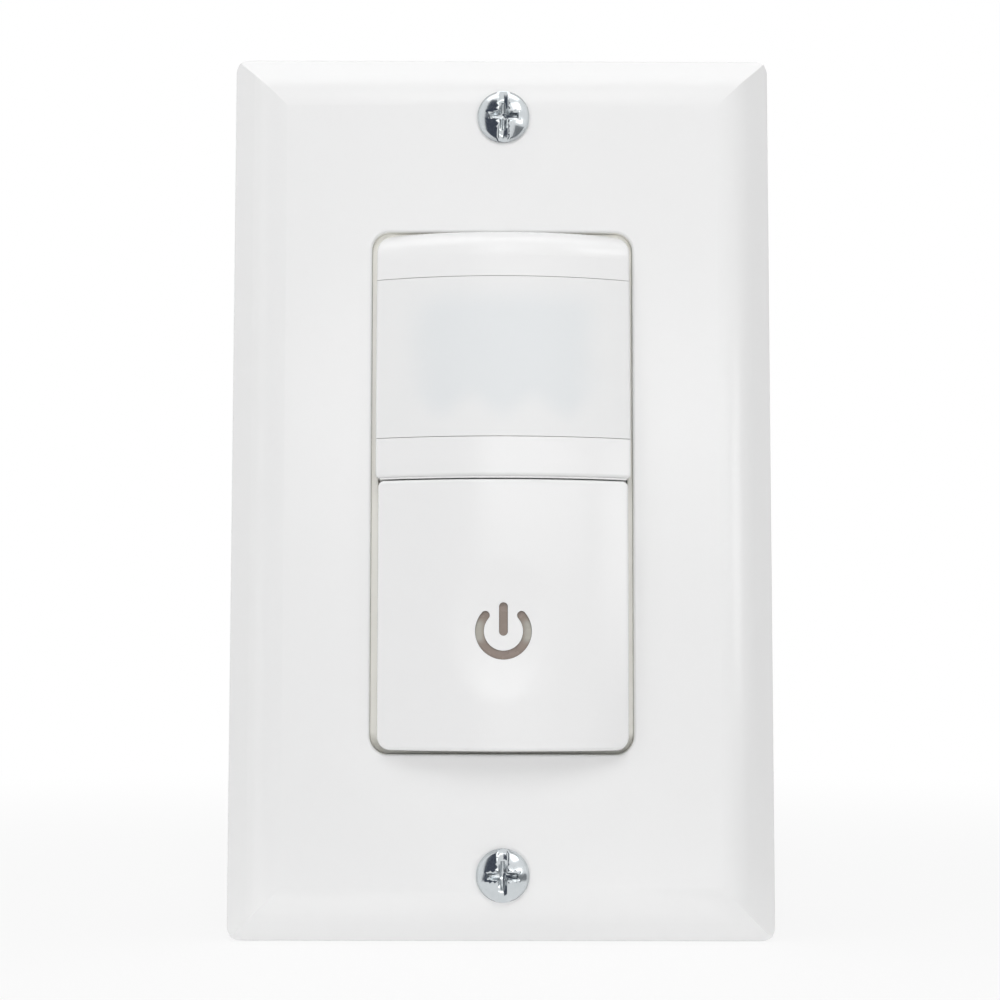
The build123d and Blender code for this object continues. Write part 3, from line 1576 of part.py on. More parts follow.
with BuildPart() as voltage_regulator:
    with BuildSketch(front(power_board_height + regulator_lift)):
        with Locations((regulator_x, regulator_z)):
            Circle(regulator_radius)
        with Locations((regulator_x, regulator_z - regulator_flat - regulator_radius)):
            Rectangle(
                2 * regulator_radius, 2 * regulator_radius, mode=Mode.SUBTRACT
            )
    extrude(amount=regulator_height)
    with BuildSketch(front(power_board_height)):
        with Locations((regulator_x, regulator_z)):
            with GridLocations(regulator_lead_pitch, 0, 3, 1):
                Circle(regulator_lead_radius)
    extrude(amount=regulator_lift)
voltage_regulator.part.label = "voltage_regulator"
export_step(voltage_regulator.part, "parts/voltage_regulator.step")
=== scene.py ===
import json
import math

import bmesh
import bpy
from mathutils import Matrix, Vector


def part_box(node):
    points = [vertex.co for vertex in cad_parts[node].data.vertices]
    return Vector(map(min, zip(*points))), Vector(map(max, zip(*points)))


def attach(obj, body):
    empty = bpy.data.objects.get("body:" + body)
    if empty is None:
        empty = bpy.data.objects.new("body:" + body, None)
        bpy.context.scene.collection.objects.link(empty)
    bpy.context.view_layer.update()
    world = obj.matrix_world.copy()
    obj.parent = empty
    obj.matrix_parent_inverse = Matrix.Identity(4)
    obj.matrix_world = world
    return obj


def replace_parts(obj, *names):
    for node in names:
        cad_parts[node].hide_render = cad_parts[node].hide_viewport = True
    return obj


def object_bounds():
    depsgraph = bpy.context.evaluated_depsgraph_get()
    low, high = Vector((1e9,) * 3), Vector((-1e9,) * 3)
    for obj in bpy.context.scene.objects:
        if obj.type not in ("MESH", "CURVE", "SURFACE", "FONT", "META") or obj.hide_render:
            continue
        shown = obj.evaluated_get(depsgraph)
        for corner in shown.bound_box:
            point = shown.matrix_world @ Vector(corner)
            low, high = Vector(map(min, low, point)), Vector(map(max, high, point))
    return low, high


# Motion sensor light switch. Lengths are in metres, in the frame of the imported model:
# X runs right, Z up, the front faces -Y, and the wall plane is at Y zero.
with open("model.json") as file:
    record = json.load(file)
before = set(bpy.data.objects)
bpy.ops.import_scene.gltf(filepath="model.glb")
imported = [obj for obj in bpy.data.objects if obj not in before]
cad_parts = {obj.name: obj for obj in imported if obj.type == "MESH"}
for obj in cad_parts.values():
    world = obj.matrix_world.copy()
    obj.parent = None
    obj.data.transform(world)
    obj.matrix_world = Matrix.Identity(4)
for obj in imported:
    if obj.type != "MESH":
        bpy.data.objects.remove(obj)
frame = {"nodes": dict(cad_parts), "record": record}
cad_low, cad_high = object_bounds()
nodes = frame["nodes"]

# Camera: a little below the middle of the plate, looking slightly up
camera_place = (-3.78e-3, -235.63e-3, -20.66e-3)
camera_yaw = 0.218
camera_pitch = 4.132
camera_roll = 0.105
camera_sensor = 36.0
camera_focal = 65.3
camera_shift = (0.0199, 0.0223)
camera_near = 0.01

# Floor and world. The share and the level of the glow are what the camera and reflections see.
floor_gap = 0.15e-3
floor_radius = 1.6
floor_sides = 96
floor_albedo = 0.9
floor_glow_share = 0.85
floor_glow_level = 1.0
floor_fade_near = 0.08
floor_fade_far = 0.35
world_level = 0.37
world_seen_level = 1.0

# Softboxes: azimuth and elevation in degrees, distance, width, height and radiance, and the rays
# that don't see them. Azimuth 0 is in front, and 90 is to the right.
softboxes = {
    "overhead_softbox": (0, 88, 1.0, 1.2, 0.52, 1.05, ()),
    "key_softbox": (0, 42, 1.0, 0.3, 0.5, 6.2, ("glossy",)),
    "front_softbox": (0, 8, 1.1, 1.4, 0.12, 2.0, ()),
    "left_softbox": (-50, 15, 1.2, 0.5, 0.8, 1.6, ("glossy",)),
    "upper_right_softbox": (46, 42, 1.0, 0.34, 0.34, 2.4, ("diffuse",)),
    "low_right_softbox": (48, 4, 1.0, 0.34, 0.2, 2.4, ()),
}

# Lamp that lies on the floor and lights the plate's foot from below
fill_reach = 20e-3
fill_width = 90e-3
fill_depth = 22e-3
fill_radiance = 0.16

# Dark flags: their ends in degrees from the front, and their reach over the floor and up
flag_left_colour = (0.07, 0.08, 0.105)
flag_right_colour = (0.24, 0.25, 0.26)
flag_left_turns = (-8, -55)
flag_right_turns = (36, 80)
flag_near = 0.03
flag_left_far = 0.7
flag_right_far = 0.5
flag_top = 1.3
flag_steps = 8

# Plastics: cells of the mottling and streaks to the metre, and the detail of the mottling
cloud_per_metre = 38.0
cloud_detail = 3.0
streak_per_metre = 260.0

# White plastics: shine, grain and painted bounce light, a creamier colour in the gaps from these
# depths
white_roughness = 0.2
white_roughness_spread = 0.06
white_grain_per_metre = 620.0
gap_painted_light = (0.975, 0.965, 0.92)
gap_painted_light_top = -5.3e-3
gap_painted_light_full = -4.9e-3
opening_half_width = 17.3e-3
opening_half_height = 34.0e-3
opening_fade = 0.2e-3

# Sensor lens: its darker bluish field is lens rings and painted shade. The field's edges are
# shares of the lens's half width and half height.
lens_rings_and_shade_colour = (0.79, 0.81, 0.822)
lens_border_colour = (0.85, 0.853, 0.853)
lens_scallops = 4
lens_scallop_share = 0.1
lens_drift_share = 0.12
lens_side_shares = (0.5, 0.86)
lens_top_shares = (0.5, 1.0)
lens_foot_shares = (0.4, 0.84)

# Symbol: where the light painted on its paler sides sets in, across and up from its middle
symbol_side = (1.9e-3, 3.1e-3)
symbol_rise = (0.8e-3, 1.9e-3)
symbol_painted_light_share = 0.7

# Tracks on the boards, and turns of wire round the bobbin with painted shade in their grooves
track_wander = 0.004
track_pitch = 1.1e-3
track_edge = (0.55e-3, 0.62e-3)
track_break = (0.44, 0.46)
wire_radius = 0.11e-3
wire_groove = 0.09e-3

# Dust liner: a lip of the frame that closes the gaps round the head and the paddle
liner_top = 4.5e-3
liner_foot = 3.05e-3
liner_outside = (-16.8e-3, 16.56e-3, -33.38e-3, 33.38e-3, 2.28e-3)
liner_inside = (-15.93e-3, 15.93e-3, -32.95e-3, 32.9e-3, 1.95e-3)
liner_round = 0.06e-3
liner_low_top = 3.3e-3
liner_low_z = -32.8e-3
liner_rise_z = -30.5e-3
liner_corner_steps = 10
lip_top_z = 1.4e-3
lip_thickness = 0.2e-3
lip_half_width = 15.6e-3
lip_drop = 0.25e-3
lip_probe_lift = 0.6e-3
lip_probe_y = -0.05
lip_steps = 48

# Screws: number 6 machine threads. Each row: node, start of the thread, screw axes in X and Z.
thread_pitch = 0.794e-3
thread_crest = 1.74e-3
thread_depth = 0.42e-3
thread_run_out = 0.8e-3
thread_flank = 1.6
thread_lead_share = 0.25
thread_tip_length = 0.7e-3
thread_steps = 8
thread_sides = 36
threaded_screws = {
    "wall_plate_screws": (-5.2e-3, [(0, 48.42e-3), (0, -48.42e-3)]),
    "device_mounting_screws": (1.6e-3, [(0, 41.67e-3), (0, -41.67e-3)]),
}
soft_edge_angle = 32.0
weld_distance = 1e-6


class Number:
    """One output of a node. Arithmetic on it adds Math nodes."""

    def __init__(self, finish, socket):
        self.finish = finish
        self.socket = socket

    def maths(self, operation, *values):
        inputs = dict(enumerate(values))
        return self.finish.node("ShaderNodeMath", {"operation": operation}, inputs)

    def __add__(self, other):
        return self.maths("ADD", self, other)

    def __radd__(self, other):
        return self.maths("ADD", other, self)

    def __sub__(self, other):
        return self.maths("SUBTRACT", self, other)

    def __rsub__(self, other):
        return self.maths("SUBTRACT", other, self)

    def __mul__(self, other):
        return self.maths("MULTIPLY", self, other)

    def __rmul__(self, other):
        return self.maths("MULTIPLY", other, self)

    def __truediv__(self, other):
        return self.maths("DIVIDE", self, other)

    def __pow__(self, other):
        return self.maths("POWER", self, other)

    def __abs__(self):
        return self.maths("ABSOLUTE", self)


class Finish:
    """A material, light or world in the making. All of its nodes come from one method."""

    def __init__(self, owner):
        self.owner = owner
        owner.use_nodes = True
        self.tree = owner.node_tree
        self.tree.nodes.clear()

    def node(self, kind, settings=None, inputs=None, output=0):
        made = self.tree.nodes.new(kind)
        for name, value in (settings or {}).items():
            setattr(made, name, value)
        for name, value in (inputs or {}).items():
            if isinstance(value, Number):
                self.tree.links.new(value.socket, made.inputs[name])
            else:
                made.inputs[name].default_value = value
        return Number(self, made.outputs[output]) if made.outputs else made

    def place(self):
        """Position on the piece, in metres."""
        return self.node("ShaderNodeTexCoord", output="Object")

    def axes(self):
        place = self.place()
        return [
            self.node("ShaderNodeSeparateXYZ", None, {"Vector": place}, output=axis)
            for axis in "XYZ"
        ]

    def noise(self, per_metre, detail=2.0, place=None):
        """Soft mottling from 0 to 1, with so many cells to the metre."""
        inputs = {"Vector": place or self.place(), "Scale": per_metre, "Detail": detail}
        return self.node("ShaderNodeTexNoise", None, inputs, output="Fac")

    def cells(self, per_metre):
        """Random colour for each cell, with so many cells to the metre."""
        inputs = {"Vector": self.place(), "Scale": per_metre}
        return self.node("ShaderNodeTexVoronoi", {"feature": "F1"}, inputs, output="Color")

    def stretched(self, x, y, z):
        """Position scaled along each axis, for drawn or brushed marks."""
        inputs = {0: self.place(), 1: (x, y, z)}
        return self.node("ShaderNodeVectorMath", {"operation": "MULTIPLY"}, inputs)

    def smooth(self, value, low, high):
        """Soft step from 0 at low to 1 at high."""
        settings = {"interpolation_type": "SMOOTHSTEP"}
        inputs = {"Value": value, "From Min": low, "From Max": high}
        return self.node("ShaderNodeMapRange", settings, inputs)

    def blend(self, share, first, second):
        """Colour between two others."""
        inputs = {0: share, 6: as_colour(first), 7: as_colour(second)}
        return self.node("ShaderNodeMix", {"data_type": "RGBA"}, inputs, output=2)

    def bump(self, height, depth):
        """Relief of so many metres for a height of 1."""
        return self.node("ShaderNodeBump", None, {"Height": height, "Distance": depth})

    def surface(self, **inputs):
        named = {name.replace("_", " "): value for name, value in inputs.items()}
        named["Base Color"] = as_colour(named["Base Color"])
        shader = self.node("ShaderNodeBsdfPrincipled", None, named)
        self.output(shader)

    def output(self, shader):
        kind = "World" if isinstance(self.owner, bpy.types.World) else "Material"
        self.node(f"ShaderNodeOutput{kind}", None, {"Surface": shader})


def as_colour(value):
    """Colour with its alpha. The output of a node passes as it is."""
    return value if isinstance(value, Number) else (*value[:3], 1.0)


def new_finish(slot):
    return Finish(bpy.data.materials.new(slot))


# Finishes: mouldings
def moulding(slot, colour, shade, roughness, spread, grain_per_metre, grain_depth):
    """Moulded plastic: faint mottling in its colour and shine, over a fine grain."""
    finish = new_finish(slot)
    cloud = finish.noise(cloud_per_metre, cloud_detail)
    streak = finish.noise(streak_per_metre)
    finish.surface(
        Base_Color=finish.blend(cloud, colour, shade),
        Roughness=roughness + spread * (streak - 0.5),
        Normal=finish.bump(finish.noise(grain_per_metre), grain_depth),
    )
    return finish.owner


def white_moulding(slot, colour, shade, grain_depth):
    """Glossy white plastic, with bounced light painted as a paler, creamier colour where it lines
    the gaps round the module.
    """
    finish = new_finish(slot)
    x, y, z = finish.axes()
    # Painted bounce light: a paler, creamier colour deep in the opening round the module
    painted_gap_light = finish.smooth(y, gap_painted_light_top, gap_painted_light_full)
    across, along = opening_half_width, opening_half_height
    beside = 1 - finish.smooth(abs(x), across, across + opening_fade)
    level = 1 - finish.smooth(abs(z), along, along + opening_fade)
    face = finish.blend(finish.noise(cloud_per_metre, cloud_detail), colour, shade)
    streak = finish.noise(streak_per_metre)
    finish.surface(
        Base_Color=finish.blend(painted_gap_light * beside * level, face, gap_painted_light),
        Roughness=white_roughness + white_roughness_spread * (streak - 0.5),
        Normal=finish.bump(finish.noise(white_grain_per_metre), grain_depth),
    )
    return finish.owner


def lens_plastic(slot):
    """Milky satin polyethylene: fine lens rings behind it show as a faint bluish field, which is
    also painted shade of the unlit hollow behind the lens.
    """
    finish = new_finish(slot)
    low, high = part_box("pir_lens")
    x, _, z = finish.axes()
    middle = (low.z + high.z) / 2
    half_width = (high.x - low.x) / 2
    half_height = (high.z - low.z) / 2
    drift = lens_drift_share * (finish.noise(160.0) - 0.5)
    scallop = finish.node(
        "ShaderNodeMath", {"operation": "COSINE"}, {0: x * (lens_scallops * math.pi / half_width)}
    )
    edge = drift - lens_scallop_share * scallop
    across = 1 - finish.smooth(abs(x) / half_width + drift, *lens_side_shares)
    above = 1 - finish.smooth((z - middle) / half_height + drift, *lens_top_shares)
    below = 1 - finish.smooth((middle - z) / half_height + edge, *lens_foot_shares)
    # Painted shade: the darker field also stands for the unlit hollow behind the lens
    rings_and_shade = across * above * below
    finish.surface(
        Base_Color=finish.blend(rings_and_shade, lens_border_colour, lens_rings_and_shade_colour),
        Roughness=0.36 + 0.06 * finish.noise(300.0),
        Normal=finish.bump(finish.noise(2600.0, 3.0), 1.5e-6),
    )
    return finish.owner


def symbol_plastic(slot):
    """Smoky window of the symbol. Its ring is painted paler at the sides, as light that leaks
    through.
    """
    finish = new_finish(slot)
    low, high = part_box("paddle_light_guide")
    x, _, z = finish.axes()
    middle = (low.z + high.z) / 2
    haze = finish.noise(900.0, 3.0)
    side = finish.smooth(abs(x), *symbol_side)
    level = 1 - finish.smooth(abs(z - middle), *symbol_rise)
    smoke = finish.blend(haze, (0.32, 0.262, 0.225), (0.25, 0.2, 0.172))
    finish.surface(
        # Painted light: paler sides of the ring, as light that leaks through
        Base_Color=finish.blend(symbol_painted_light_share * side * level, smoke, (0.5, 0.5, 0.45)),
        Roughness=0.22 + 0.1 * finish.noise(500.0),
        Normal=finish.bump(finish.noise(3000.0), 2e-6),
    )
    return finish.owner


def clear_plastic(slot):
    """Clear plastic of the light pipe and the symbol's lamp."""
    finish = new_finish(slot)
    finish.surface(
        Base_Color=(0.9, 0.92, 0.93),
        Roughness=0.05 + 0.05 * finish.noise(600.0),
        Transmission_Weight=0.9,
    )
    return finish.owner


# Finishes: metals
def plated(slot, colour, shade, roughness, spread, mark_depth):
    """Plated or drawn metal with fine mottling and marks."""
    finish = new_finish(slot)
    mottle = finish.noise(900.0, 4.0)
    marks = finish.noise(1.0, place=finish.stretched(9000.0, 9000.0, 600.0))
    finish.surface(
        Base_Color=finish.blend(mottle, colour, shade),
        Metallic=1.0,
        Roughness=roughness + spread * (mottle - 0.5),
        Normal=finish.bump(marks, mark_depth),
    )
    return finish.owner


def strap_steel(slot):
    """Galvanised sheet: crystals of zinc that differ in tone and shine."""
    finish = new_finish(slot)
    crystal = finish.cells(420.0)
    tone = finish.node("ShaderNodeSeparateColor", None, {"Color": crystal}, output="Red")
    dust = finish.noise(1800.0, 3.0)
    finish.surface(
        Base_Color=finish.blend(tone, (0.5, 0.52, 0.54), (0.66, 0.67, 0.68)),
        Metallic=1.0,
        Roughness=0.28 + 0.16 * tone + 0.06 * dust,
        Normal=finish.bump(tone + 0.4 * dust, 3e-6),
    )
    return finish.owner


# Finishes: what sits on the boards
def board_green(slot):
    """Solder mask over copper tracks that run along the board."""
    finish = new_finish(slot)
    x, _, _ = finish.axes()
    wander = finish.noise(120.0, 1.0)
    lane = finish.node(
        "ShaderNodeMath",
        {"operation": "PINGPONG"},
        {0: x + track_wander * wander, 1: track_pitch},
    )
    track = finish.smooth(lane, *track_edge)
    broken = finish.smooth(finish.noise(150.0, 1.0), *track_break)
    copper = track * broken
    finish.surface(
        Base_Color=finish.blend(copper, (0.012, 0.085, 0.035), (0.03, 0.16, 0.06)),
        Roughness=0.3 + 0.1 * finish.noise(800.0) - 0.05 * copper,
        Normal=finish.bump(copper, 25e-6),
    )
    return finish.owner


def insulation(slot):
    """Vulcanised fibre: a felted, slightly fuzzy sheet."""
    finish = new_finish(slot)
    fibre = finish.noise(1.0, 4.0, finish.stretched(3500.0, 900.0, 900.0))
    finish.surface(
        Base_Color=finish.blend(fibre, (0.33, 0.27, 0.2), (0.24, 0.19, 0.14)),
        Roughness=0.7 + 0.15 * fibre,
        Normal=finish.bump(fibre, 12e-6),
    )
    return finish.owner


def cell_face(slot):
    """Light cell and small ceramic parts: brick-red face with a fine speckle."""
    finish = new_finish(slot)
    speck = finish.smooth(finish.noise(5000.0), 0.55, 0.65)
    finish.surface(
        Base_Color=finish.blend(speck, (0.45, 0.2, 0.1), (0.3, 0.1, 0.06)),
        Roughness=0.45 + 0.2 * speck,
        Normal=finish.bump(speck, 4e-6),
    )
    return finish.owner


def copper_wire(slot):
    """Turns of enamelled wire round the bobbin, which stands along Y. Each turn is painted darker
    towards the grooves between turns, as shade.
    """
    finish = new_finish(slot)
    _, y, _ = finish.axes()
    turn = finish.node("ShaderNodeMath", {"operation": "PINGPONG"}, {0: y, 1: wire_radius})
    groove = finish.smooth(turn, 0.0, wire_groove)
    finish.surface(
        # Painted shade: darker towards the grooves between turns
        Base_Color=finish.blend(groove, (0.16, 0.05, 0.02), (0.55, 0.2, 0.08)),
        Metallic=0.9,
        Roughness=0.28 + 0.1 * finish.noise(700.0),
        Normal=finish.bump(groove, 60e-6),
    )
    return finish.owner


# White plastics: colour, its shade, and the depth of the grain
white_plastics = {
    "plate_plastic": ((0.865, 0.865, 0.865), (0.855, 0.856, 0.856), 1.2e-6),
    "device_plastic": ((0.875, 0.875, 0.875), (0.865, 0.865, 0.866), 1.0e-6),
}

# Other plastics: colour, its shade, roughness and its spread, grain to the metre and its depth
plastics = {
    "housing_plastic": ((0.03, 0.031, 0.034), (0.038, 0.039, 0.042), 0.48, 0.12, 4200.0, 9e-6),
    "dial_plastic": ((0.05, 0.11, 0.26), (0.06, 0.13, 0.3), 0.35, 0.1, 2000.0, 3e-6),
    "sensor_filter": ((0.02, 0.016, 0.024), (0.03, 0.02, 0.034), 0.08, 0.04, 900.0, 1e-6),
    "black_plastic": ((0.012, 0.012, 0.013), (0.018, 0.018, 0.019), 0.45, 0.1, 3500.0, 5e-6),
    "red_lens": ((0.42, 0.012, 0.01), (0.36, 0.01, 0.008), 0.1, 0.05, 900.0, 1e-6),
    "white_lens": ((0.74, 0.7, 0.5), (0.78, 0.76, 0.62), 0.25, 0.06, 900.0, 1e-6),
    "relay_case": ((0.012, 0.03, 0.16), (0.015, 0.038, 0.19), 0.22, 0.06, 1200.0, 1.5e-6),
    "capacitor_sleeve": ((0.012, 0.014, 0.03), (0.016, 0.018, 0.04), 0.2, 0.08, 900.0, 2e-6),
    "film_yellow": ((0.62, 0.36, 0.03), (0.58, 0.33, 0.025), 0.28, 0.06, 1500.0, 2e-6),
    "varistor_blue": ((0.02, 0.06, 0.25), (0.025, 0.07, 0.29), 0.32, 0.1, 1300.0, 9e-6),
    "resistor_body": ((0.12, 0.22, 0.17), (0.1, 0.19, 0.15), 0.5, 0.1, 2200.0, 4e-6),
}

# Metals: colour, its shade, roughness and its spread, and the depth of the marks
metals = {
    "bright_steel": ((0.56, 0.6, 0.62), (0.66, 0.69, 0.71), 0.16, 0.08, 1.2e-6),
    "green_screw": ((0.03, 0.2, 0.07), (0.05, 0.28, 0.1), 0.3, 0.1, 2e-6),
    "brass_contact": ((0.72, 0.5, 0.2), (0.62, 0.42, 0.17), 0.3, 0.14, 3e-6),
    "sensor_metal": ((0.7, 0.7, 0.68), (0.76, 0.76, 0.74), 0.18, 0.08, 1e-6),
    "tinned_lead": ((0.66, 0.66, 0.64), (0.74, 0.74, 0.72), 0.26, 0.1, 2e-6),
    "soft_iron": ((0.42, 0.42, 0.4), (0.5, 0.5, 0.48), 0.4, 0.12, 4e-6),
}

# Finishes that fit one slot each
single_finishes = {
    "lens_plastic": lens_plastic,
    "symbol_plastic": symbol_plastic,
    "clear_plastic": clear_plastic,
    "strap_steel": strap_steel,
    "board_green": board_green,
    "insulation": insulation,
    "cell_face": cell_face,
    "copper_wire": copper_wire,
}

finishes = {slot: white_moulding(slot, *row) for slot, row in white_plastics.items()}
finishes.update({slot: moulding(slot, *row) for slot, row in plastics.items()})
finishes.update({slot: plated(slot, *row) for slot, row in metals.items()})
finishes.update({slot: make(slot) for slot, make in single_finishes.items()})


def dress_nodes():
    """Give every node of the model the finish of its slot."""
    for row in frame["record"]["subparts"]:
        mesh = nodes[row["node"]].data
        mesh.materials.clear()
        mesh.materials.append(finishes[row["material_slot"]])


# Dust liner
def rounded_loop(edges, inset):
    """Points round a rectangle with round corners, moved in by an inset."""
    left, right, low, high, radius = edges
    radius -= inset
    corners = [
        (right - inset - radius, high - inset - radius, 0),
        (left + inset + radius, high - inset - radius, 90),
        (left + inset + radius, low + inset + radius, 180),
        (right - inset - radius, low + inset + radius, 270),
    ]
    points = []
    for x, z, start in corners:
        for step in range(liner_corner_steps + 1):
            turn = math.radians(start + 90 * step / liner_corner_steps)
            points.append((x + radius * math.cos(turn), z + radius * math.sin(turn)))
        if start == 90:
            points.append((left + inset, liner_rise_z))
    points.append((right - inset, liner_rise_z))
    return points


def add_piece(name, bm, slot):
    """Close a mesh into a piece that stays with the device, in the finish of a slot."""
    bmesh.ops.recalc_face_normals(bm, faces=bm.faces)
    mesh = bpy.data.meshes.new(name)
    bm.to_mesh(mesh)
    bm.free()
    mesh.materials.append(finishes[slot])
    mesh.shade_smooth()
    mesh.set_sharp_from_angle(angle=math.radians(soft_edge_angle))
    piece = bpy.data.objects.new(name, mesh)
    bpy.context.scene.collection.objects.link(piece)
    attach(piece, "root")
    return piece


def skin(bm, rows, closed):
    """Faces from each row of points to the next. Each row is a loop, and closed joins the last
    row to the first."""
    made = [[bm.verts.new(point) for point in row] for row in rows]
    pairs = list(zip(made, made[1:])) + ([(made[-1], made[0])] if closed else [])
    for one, other in pairs:
        for index, point in enumerate(one):
            after = (index + 1) % len(one)
            bm.faces.new((point, one[after], other[after], other[index]))
    return made


def liner_height(z):
    """Height of the liner's top, which sinks along the foot of the opening."""
    share = min(max((z - liner_low_z) / (liner_rise_z - liner_low_z), 0), 1)
    return liner_low_top + (liner_top - liner_low_top) * share * share * (3 - 2 * share)


def make_gap_liner():
    """Ring in the opening, with softly broken edges, set back from the plate's face."""
    outer, outer_top = (rounded_loop(liner_outside, inset) for inset in (0, liner_round))
    inner, inner_top = (rounded_loop(liner_inside, -inset) for inset in (0, liner_round))
    rows = [[(x, -liner_foot, z) for x, z in outer]]
    rows.append([(x, liner_round - liner_height(z), z) for x, z in outer])
    rows.append([(x, -liner_height(z), z) for x, z in outer_top])
    rows.append([(x, -liner_height(z), z) for x, z in inner_top])
    rows.append([(x, liner_round - liner_height(z), z) for x, z in inner])
    rows.append([(x, -liner_foot, z) for x, z in inner])
    bm = bmesh.new()
    skin(bm, rows, True)
    add_piece("gap_liner", bm, "device_plastic")


def make_head_lip():
    """Thin lip under the sensor head that follows its bowed front, just clear of the paddle."""
    bpy.context.view_layer.update()
    frame_piece = nodes["front_frame"]
    rows = []
    for step in range(lip_steps + 1):
        x = lip_half_width * (2 * step / lip_steps - 1)
        probe = Vector((x, lip_probe_y, lip_top_z + lip_probe_lift))
        struck, place, _, _ = frame_piece.ray_cast(probe, Vector((0, 1, 0)))
        front = place.y + lip_drop if struck else -liner_top
        low = lip_top_z - lip_thickness
        rows.append(
            [
                (x, -liner_foot, lip_top_z),
                (x, front, lip_top_z),
                (x, front, low + liner_round),
                (x, front + liner_round, low),
                (x, -liner_foot, low),
            ]
        )
    bm = bmesh.new()
    made = skin(bm, rows, False)
    bm.faces.new(made[0])
    bm.faces.new(made[-1])
    add_piece("head_lip", bm, "device_plastic")


# Threaded screws: the heads of the model's own screws, with a cut thread for each plain shank
def thread_radius(step, along, left):
    """Radius at a step of the thread's profile, so far from the head and from the tip."""
    ridge = min(thread_flank * (1 - abs(2 * (step % thread_steps) / thread_steps - 1)), 1)
    fade = min(left / thread_tip_length, 1)
    return thread_crest - thread_depth * min(along / thread_run_out, 1) * (1 - ridge * fade)


def add_thread(bm, x, z, start, end):
    """Helical surface round an axis along Y, closed at both ends."""
    turns = math.ceil((end - start) / thread_pitch) + 1
    rows = []
    for step in range(-thread_steps, turns * thread_steps + 1):
        row = []
        for side in range(thread_sides + 1):
            y = start + thread_pitch * (step / thread_steps + side / thread_sides)
            y = min(max(y, start), end)
            radius = thread_radius(step, y - start, end - y)
            turn = 2 * math.pi * side / thread_sides
            row.append((x + radius * math.cos(turn), y, z + radius * math.sin(turn)))
        rows.append([bm.verts.new(point) for point in row])
    made = [vertex for row in rows for vertex in row]
    for one, other in zip(rows, rows[1:]):
        for side in range(thread_sides):
            bm.faces.new((one[side], one[side + 1], other[side + 1], other[side]))
    bmesh.ops.remove_doubles(bm, verts=made, dist=weld_distance)


def make_threaded_screws():
    """Screws whose plain shanks give way to threads, in place of the model's own."""
    for name, (start, axes) in threaded_screws.items():
        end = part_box(name)[1].y
        bm = bmesh.new()
        bm.from_mesh(nodes[name].data)
        bmesh.ops.remove_doubles(bm, verts=bm.verts, dist=weld_distance)
        bmesh.ops.bisect_plane(
            bm,
            geom=[*bm.verts, *bm.edges, *bm.faces],
            plane_co=(0, start, 0),
            plane_no=(0, 1, 0),
            clear_outer=True,
        )
        for x, z in axes:
            add_thread(bm, x, z, start - thread_lead_share * thread_pitch, end)
        open_edges = [edge for edge in bm.edges if edge.is_boundary]
        bmesh.ops.holes_fill(bm, edges=open_edges)
        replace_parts(add_piece(f"threaded_{name}", bm, "bright_steel"), name)


# Camera, floor and light
def make_camera():
    yaw, pitch, roll = (
        math.radians(angle) for angle in (camera_yaw, camera_pitch, camera_roll)
    )
    forward = Vector(
        (math.sin(yaw) * math.cos(pitch), math.cos(yaw) * math.cos(pitch), math.sin(pitch))
    )
    level = Vector((math.cos(yaw), -math.sin(yaw), 0))
    upright = level.cross(forward)
    right = math.cos(roll) * level + math.sin(roll) * upright
    up = math.cos(roll) * upright - math.sin(roll) * level
    data = bpy.data.cameras.new("camera")
    data.sensor_width = camera_sensor
    data.lens = camera_focal
    data.shift_x, data.shift_y = camera_shift
    data.clip_start = camera_near
    camera = bpy.data.objects.new("camera", data)
    turn = Matrix((right, up, -forward)).transposed().to_4x4()
    camera.matrix_world = Matrix.Translation(camera_place) @ turn
    bpy.context.scene.collection.objects.link(camera)
    bpy.context.scene.camera = camera


def seen_share(finish):
    """1 for what the camera, a reflection or a clear piece sees, and 0 for light that spreads."""
    flags = [
        finish.node("ShaderNodeLightPath", output=name)
        for name in ("Is Camera Ray", "Is Glossy Ray", "Is Transmission Ray")
    ]
    share = flags[0]
    for flag in flags[1:]:
        share = finish.node("ShaderNodeMath", {"operation": "MAXIMUM"}, {0: share, 1: flag})
    return share


def make_world():
    """White surroundings, with a lower level for the light that spreads."""
    world = bpy.data.worlds.new("studio")
    bpy.context.scene.world = world
    finish = Finish(world)
    level = world_level + (world_seen_level - world_level) * seen_share(finish)
    shader = finish.node("ShaderNodeBackground", None, {"Color": (1, 1, 1, 1), "Strength": level})
    finish.output(shader)


def make_floor():
    """White floor under the plate's lower edge. It keeps a soft shadow near the plate."""
    finish = new_finish("floor")
    x, y, _ = finish.axes()
    away = finish.smooth((x * x + y * y) ** 0.5, floor_fade_near, floor_fade_far)
    matt = finish.node(
        "ShaderNodeBsdfDiffuse", None, {"Color": (floor_albedo, floor_albedo, floor_albedo, 1)}
    )
    glow = finish.node(
        "ShaderNodeEmission", None, {"Color": (1, 1, 1, 1), "Strength": floor_glow_level}
    )
    share = seen_share(finish) * (floor_glow_share + (1 - floor_glow_share) * away)
    finish.output(finish.node("ShaderNodeMixShader", None, {0: share, 1: matt, 2: glow}))
    bm = bmesh.new()
    bmesh.ops.create_circle(bm, cap_ends=True, radius=floor_radius, segments=floor_sides)
    mesh = bpy.data.meshes.new("floor")
    bm.to_mesh(mesh)
    bm.free()
    mesh.materials.append(finish.owner)
    floor = bpy.data.objects.new("floor", mesh)
    floor.location = (0, 0, cad_low.z - floor_gap)
    bpy.context.scene.collection.objects.link(floor)


def area_lamp(name, width, height, radiance, unseen_by):
    """Rectangular lamp, with its brightness given as radiance."""
    data = bpy.data.lights.new(name, "AREA")
    data.shape = "RECTANGLE"
    data.size = width
    data.size_y = height
    data.energy = radiance * width * height * math.pi
    light = bpy.data.objects.new(name, data)
    bpy.context.scene.collection.objects.link(light)
    for ray in ("camera", *unseen_by):
        setattr(light, f"visible_{ray}", False)
    return light


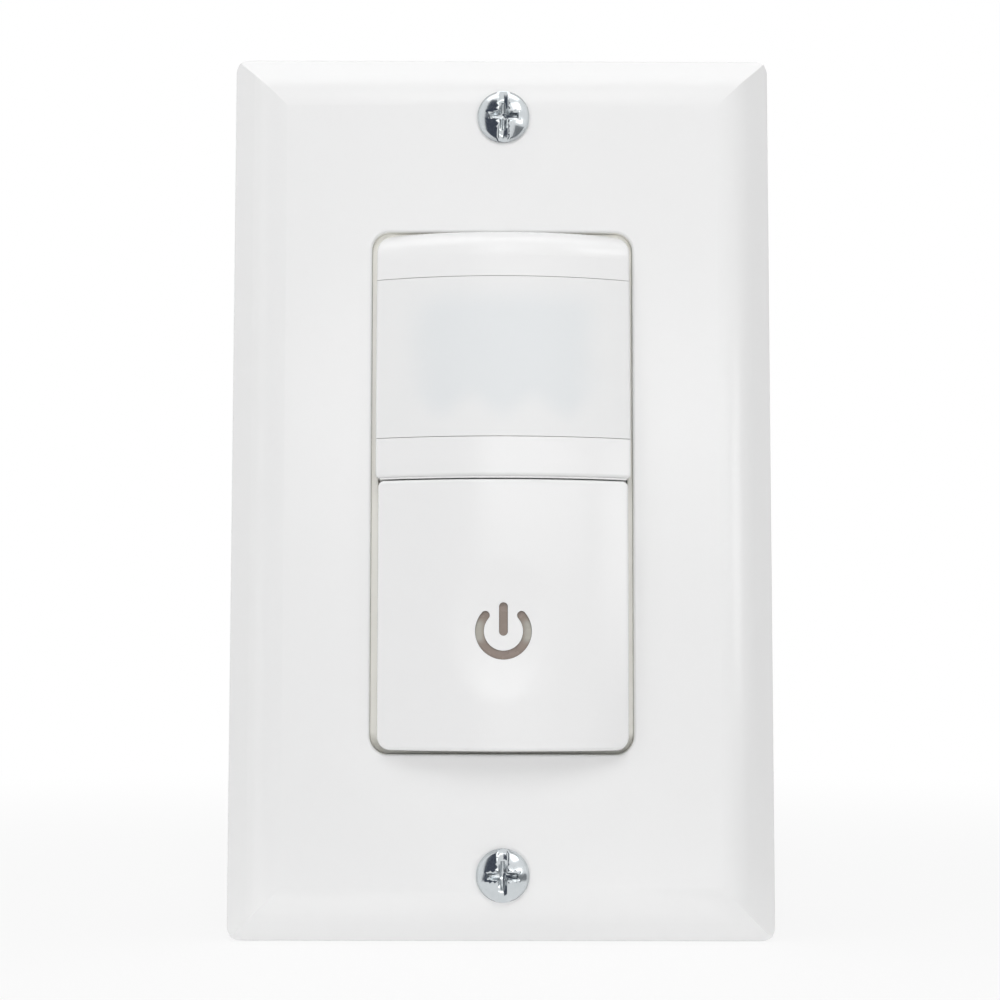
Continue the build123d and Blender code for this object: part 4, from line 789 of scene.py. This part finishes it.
def make_lights():
    for name, row in softboxes.items():
        azimuth, elevation, distance, *form = row
        side, rise = math.radians(azimuth), math.radians(elevation)
        away = Vector(
            (math.sin(side) * math.cos(rise), -math.cos(side) * math.cos(rise), math.sin(rise))
        )
        light = area_lamp(name, *form)
        light.location = away * distance
        light.rotation_euler = away.to_track_quat("Z", "Y").to_euler()
    fill = area_lamp("low_fill", fill_width, fill_depth, fill_radiance, ("glossy",))
    fill.location = (0, fill_depth / 2 - fill_reach, cad_low.z)
    fill.rotation_euler = (math.pi, 0, 0)


def make_dark_flag(name, colour, flag_from, flag_to, profile):
    """Dark board that only shows as a reflection. Its profile is swept round the origin, and is
    given as points, each a distance from the origin and a height."""
    finish = new_finish(name)
    finish.output(
        finish.node("ShaderNodeEmission", None, {"Color": (*colour, 1), "Strength": 1.0})
    )
    bm = bmesh.new()
    rows = []
    for step in range(flag_steps + 1):
        turn = math.radians(flag_from + (flag_to - flag_from) * step / flag_steps)
        rows.append(
            [bm.verts.new((r * math.sin(turn), -r * math.cos(turn), z)) for r, z in profile]
        )
    for one, other in zip(rows, rows[1:]):
        for index in range(len(profile) - 1):
            bm.faces.new((one[index], one[index + 1], other[index + 1], other[index]))
    mesh = bpy.data.meshes.new(name)
    bm.to_mesh(mesh)
    bm.free()
    mesh.materials.append(finish.owner)
    flag = bpy.data.objects.new(name, mesh)
    for ray in ("camera", "diffuse", "transmission", "volume_scatter", "shadow"):
        setattr(flag, f"visible_{ray}", False)
    bpy.context.scene.collection.objects.link(flag)


def make_dark_flags():
    """Boards on the floor to both sides, the left one with a raised cloth at its end."""
    low = cad_low.z + floor_gap
    left = [(flag_near, low), (flag_left_far, low), (flag_left_far, flag_top)]
    right = [(flag_near, low), (flag_right_far, low)]
    make_dark_flag("left_flag", flag_left_colour, *flag_left_turns, left)
    make_dark_flag("right_flag", flag_right_colour, *flag_right_turns, right)


dress_nodes()
make_gap_liner()
make_head_lip()
make_threaded_screws()
make_camera()
make_world()
make_floor()
make_lights()
make_dark_flags()
bpy.context.scene.view_settings.view_transform = "Standard"
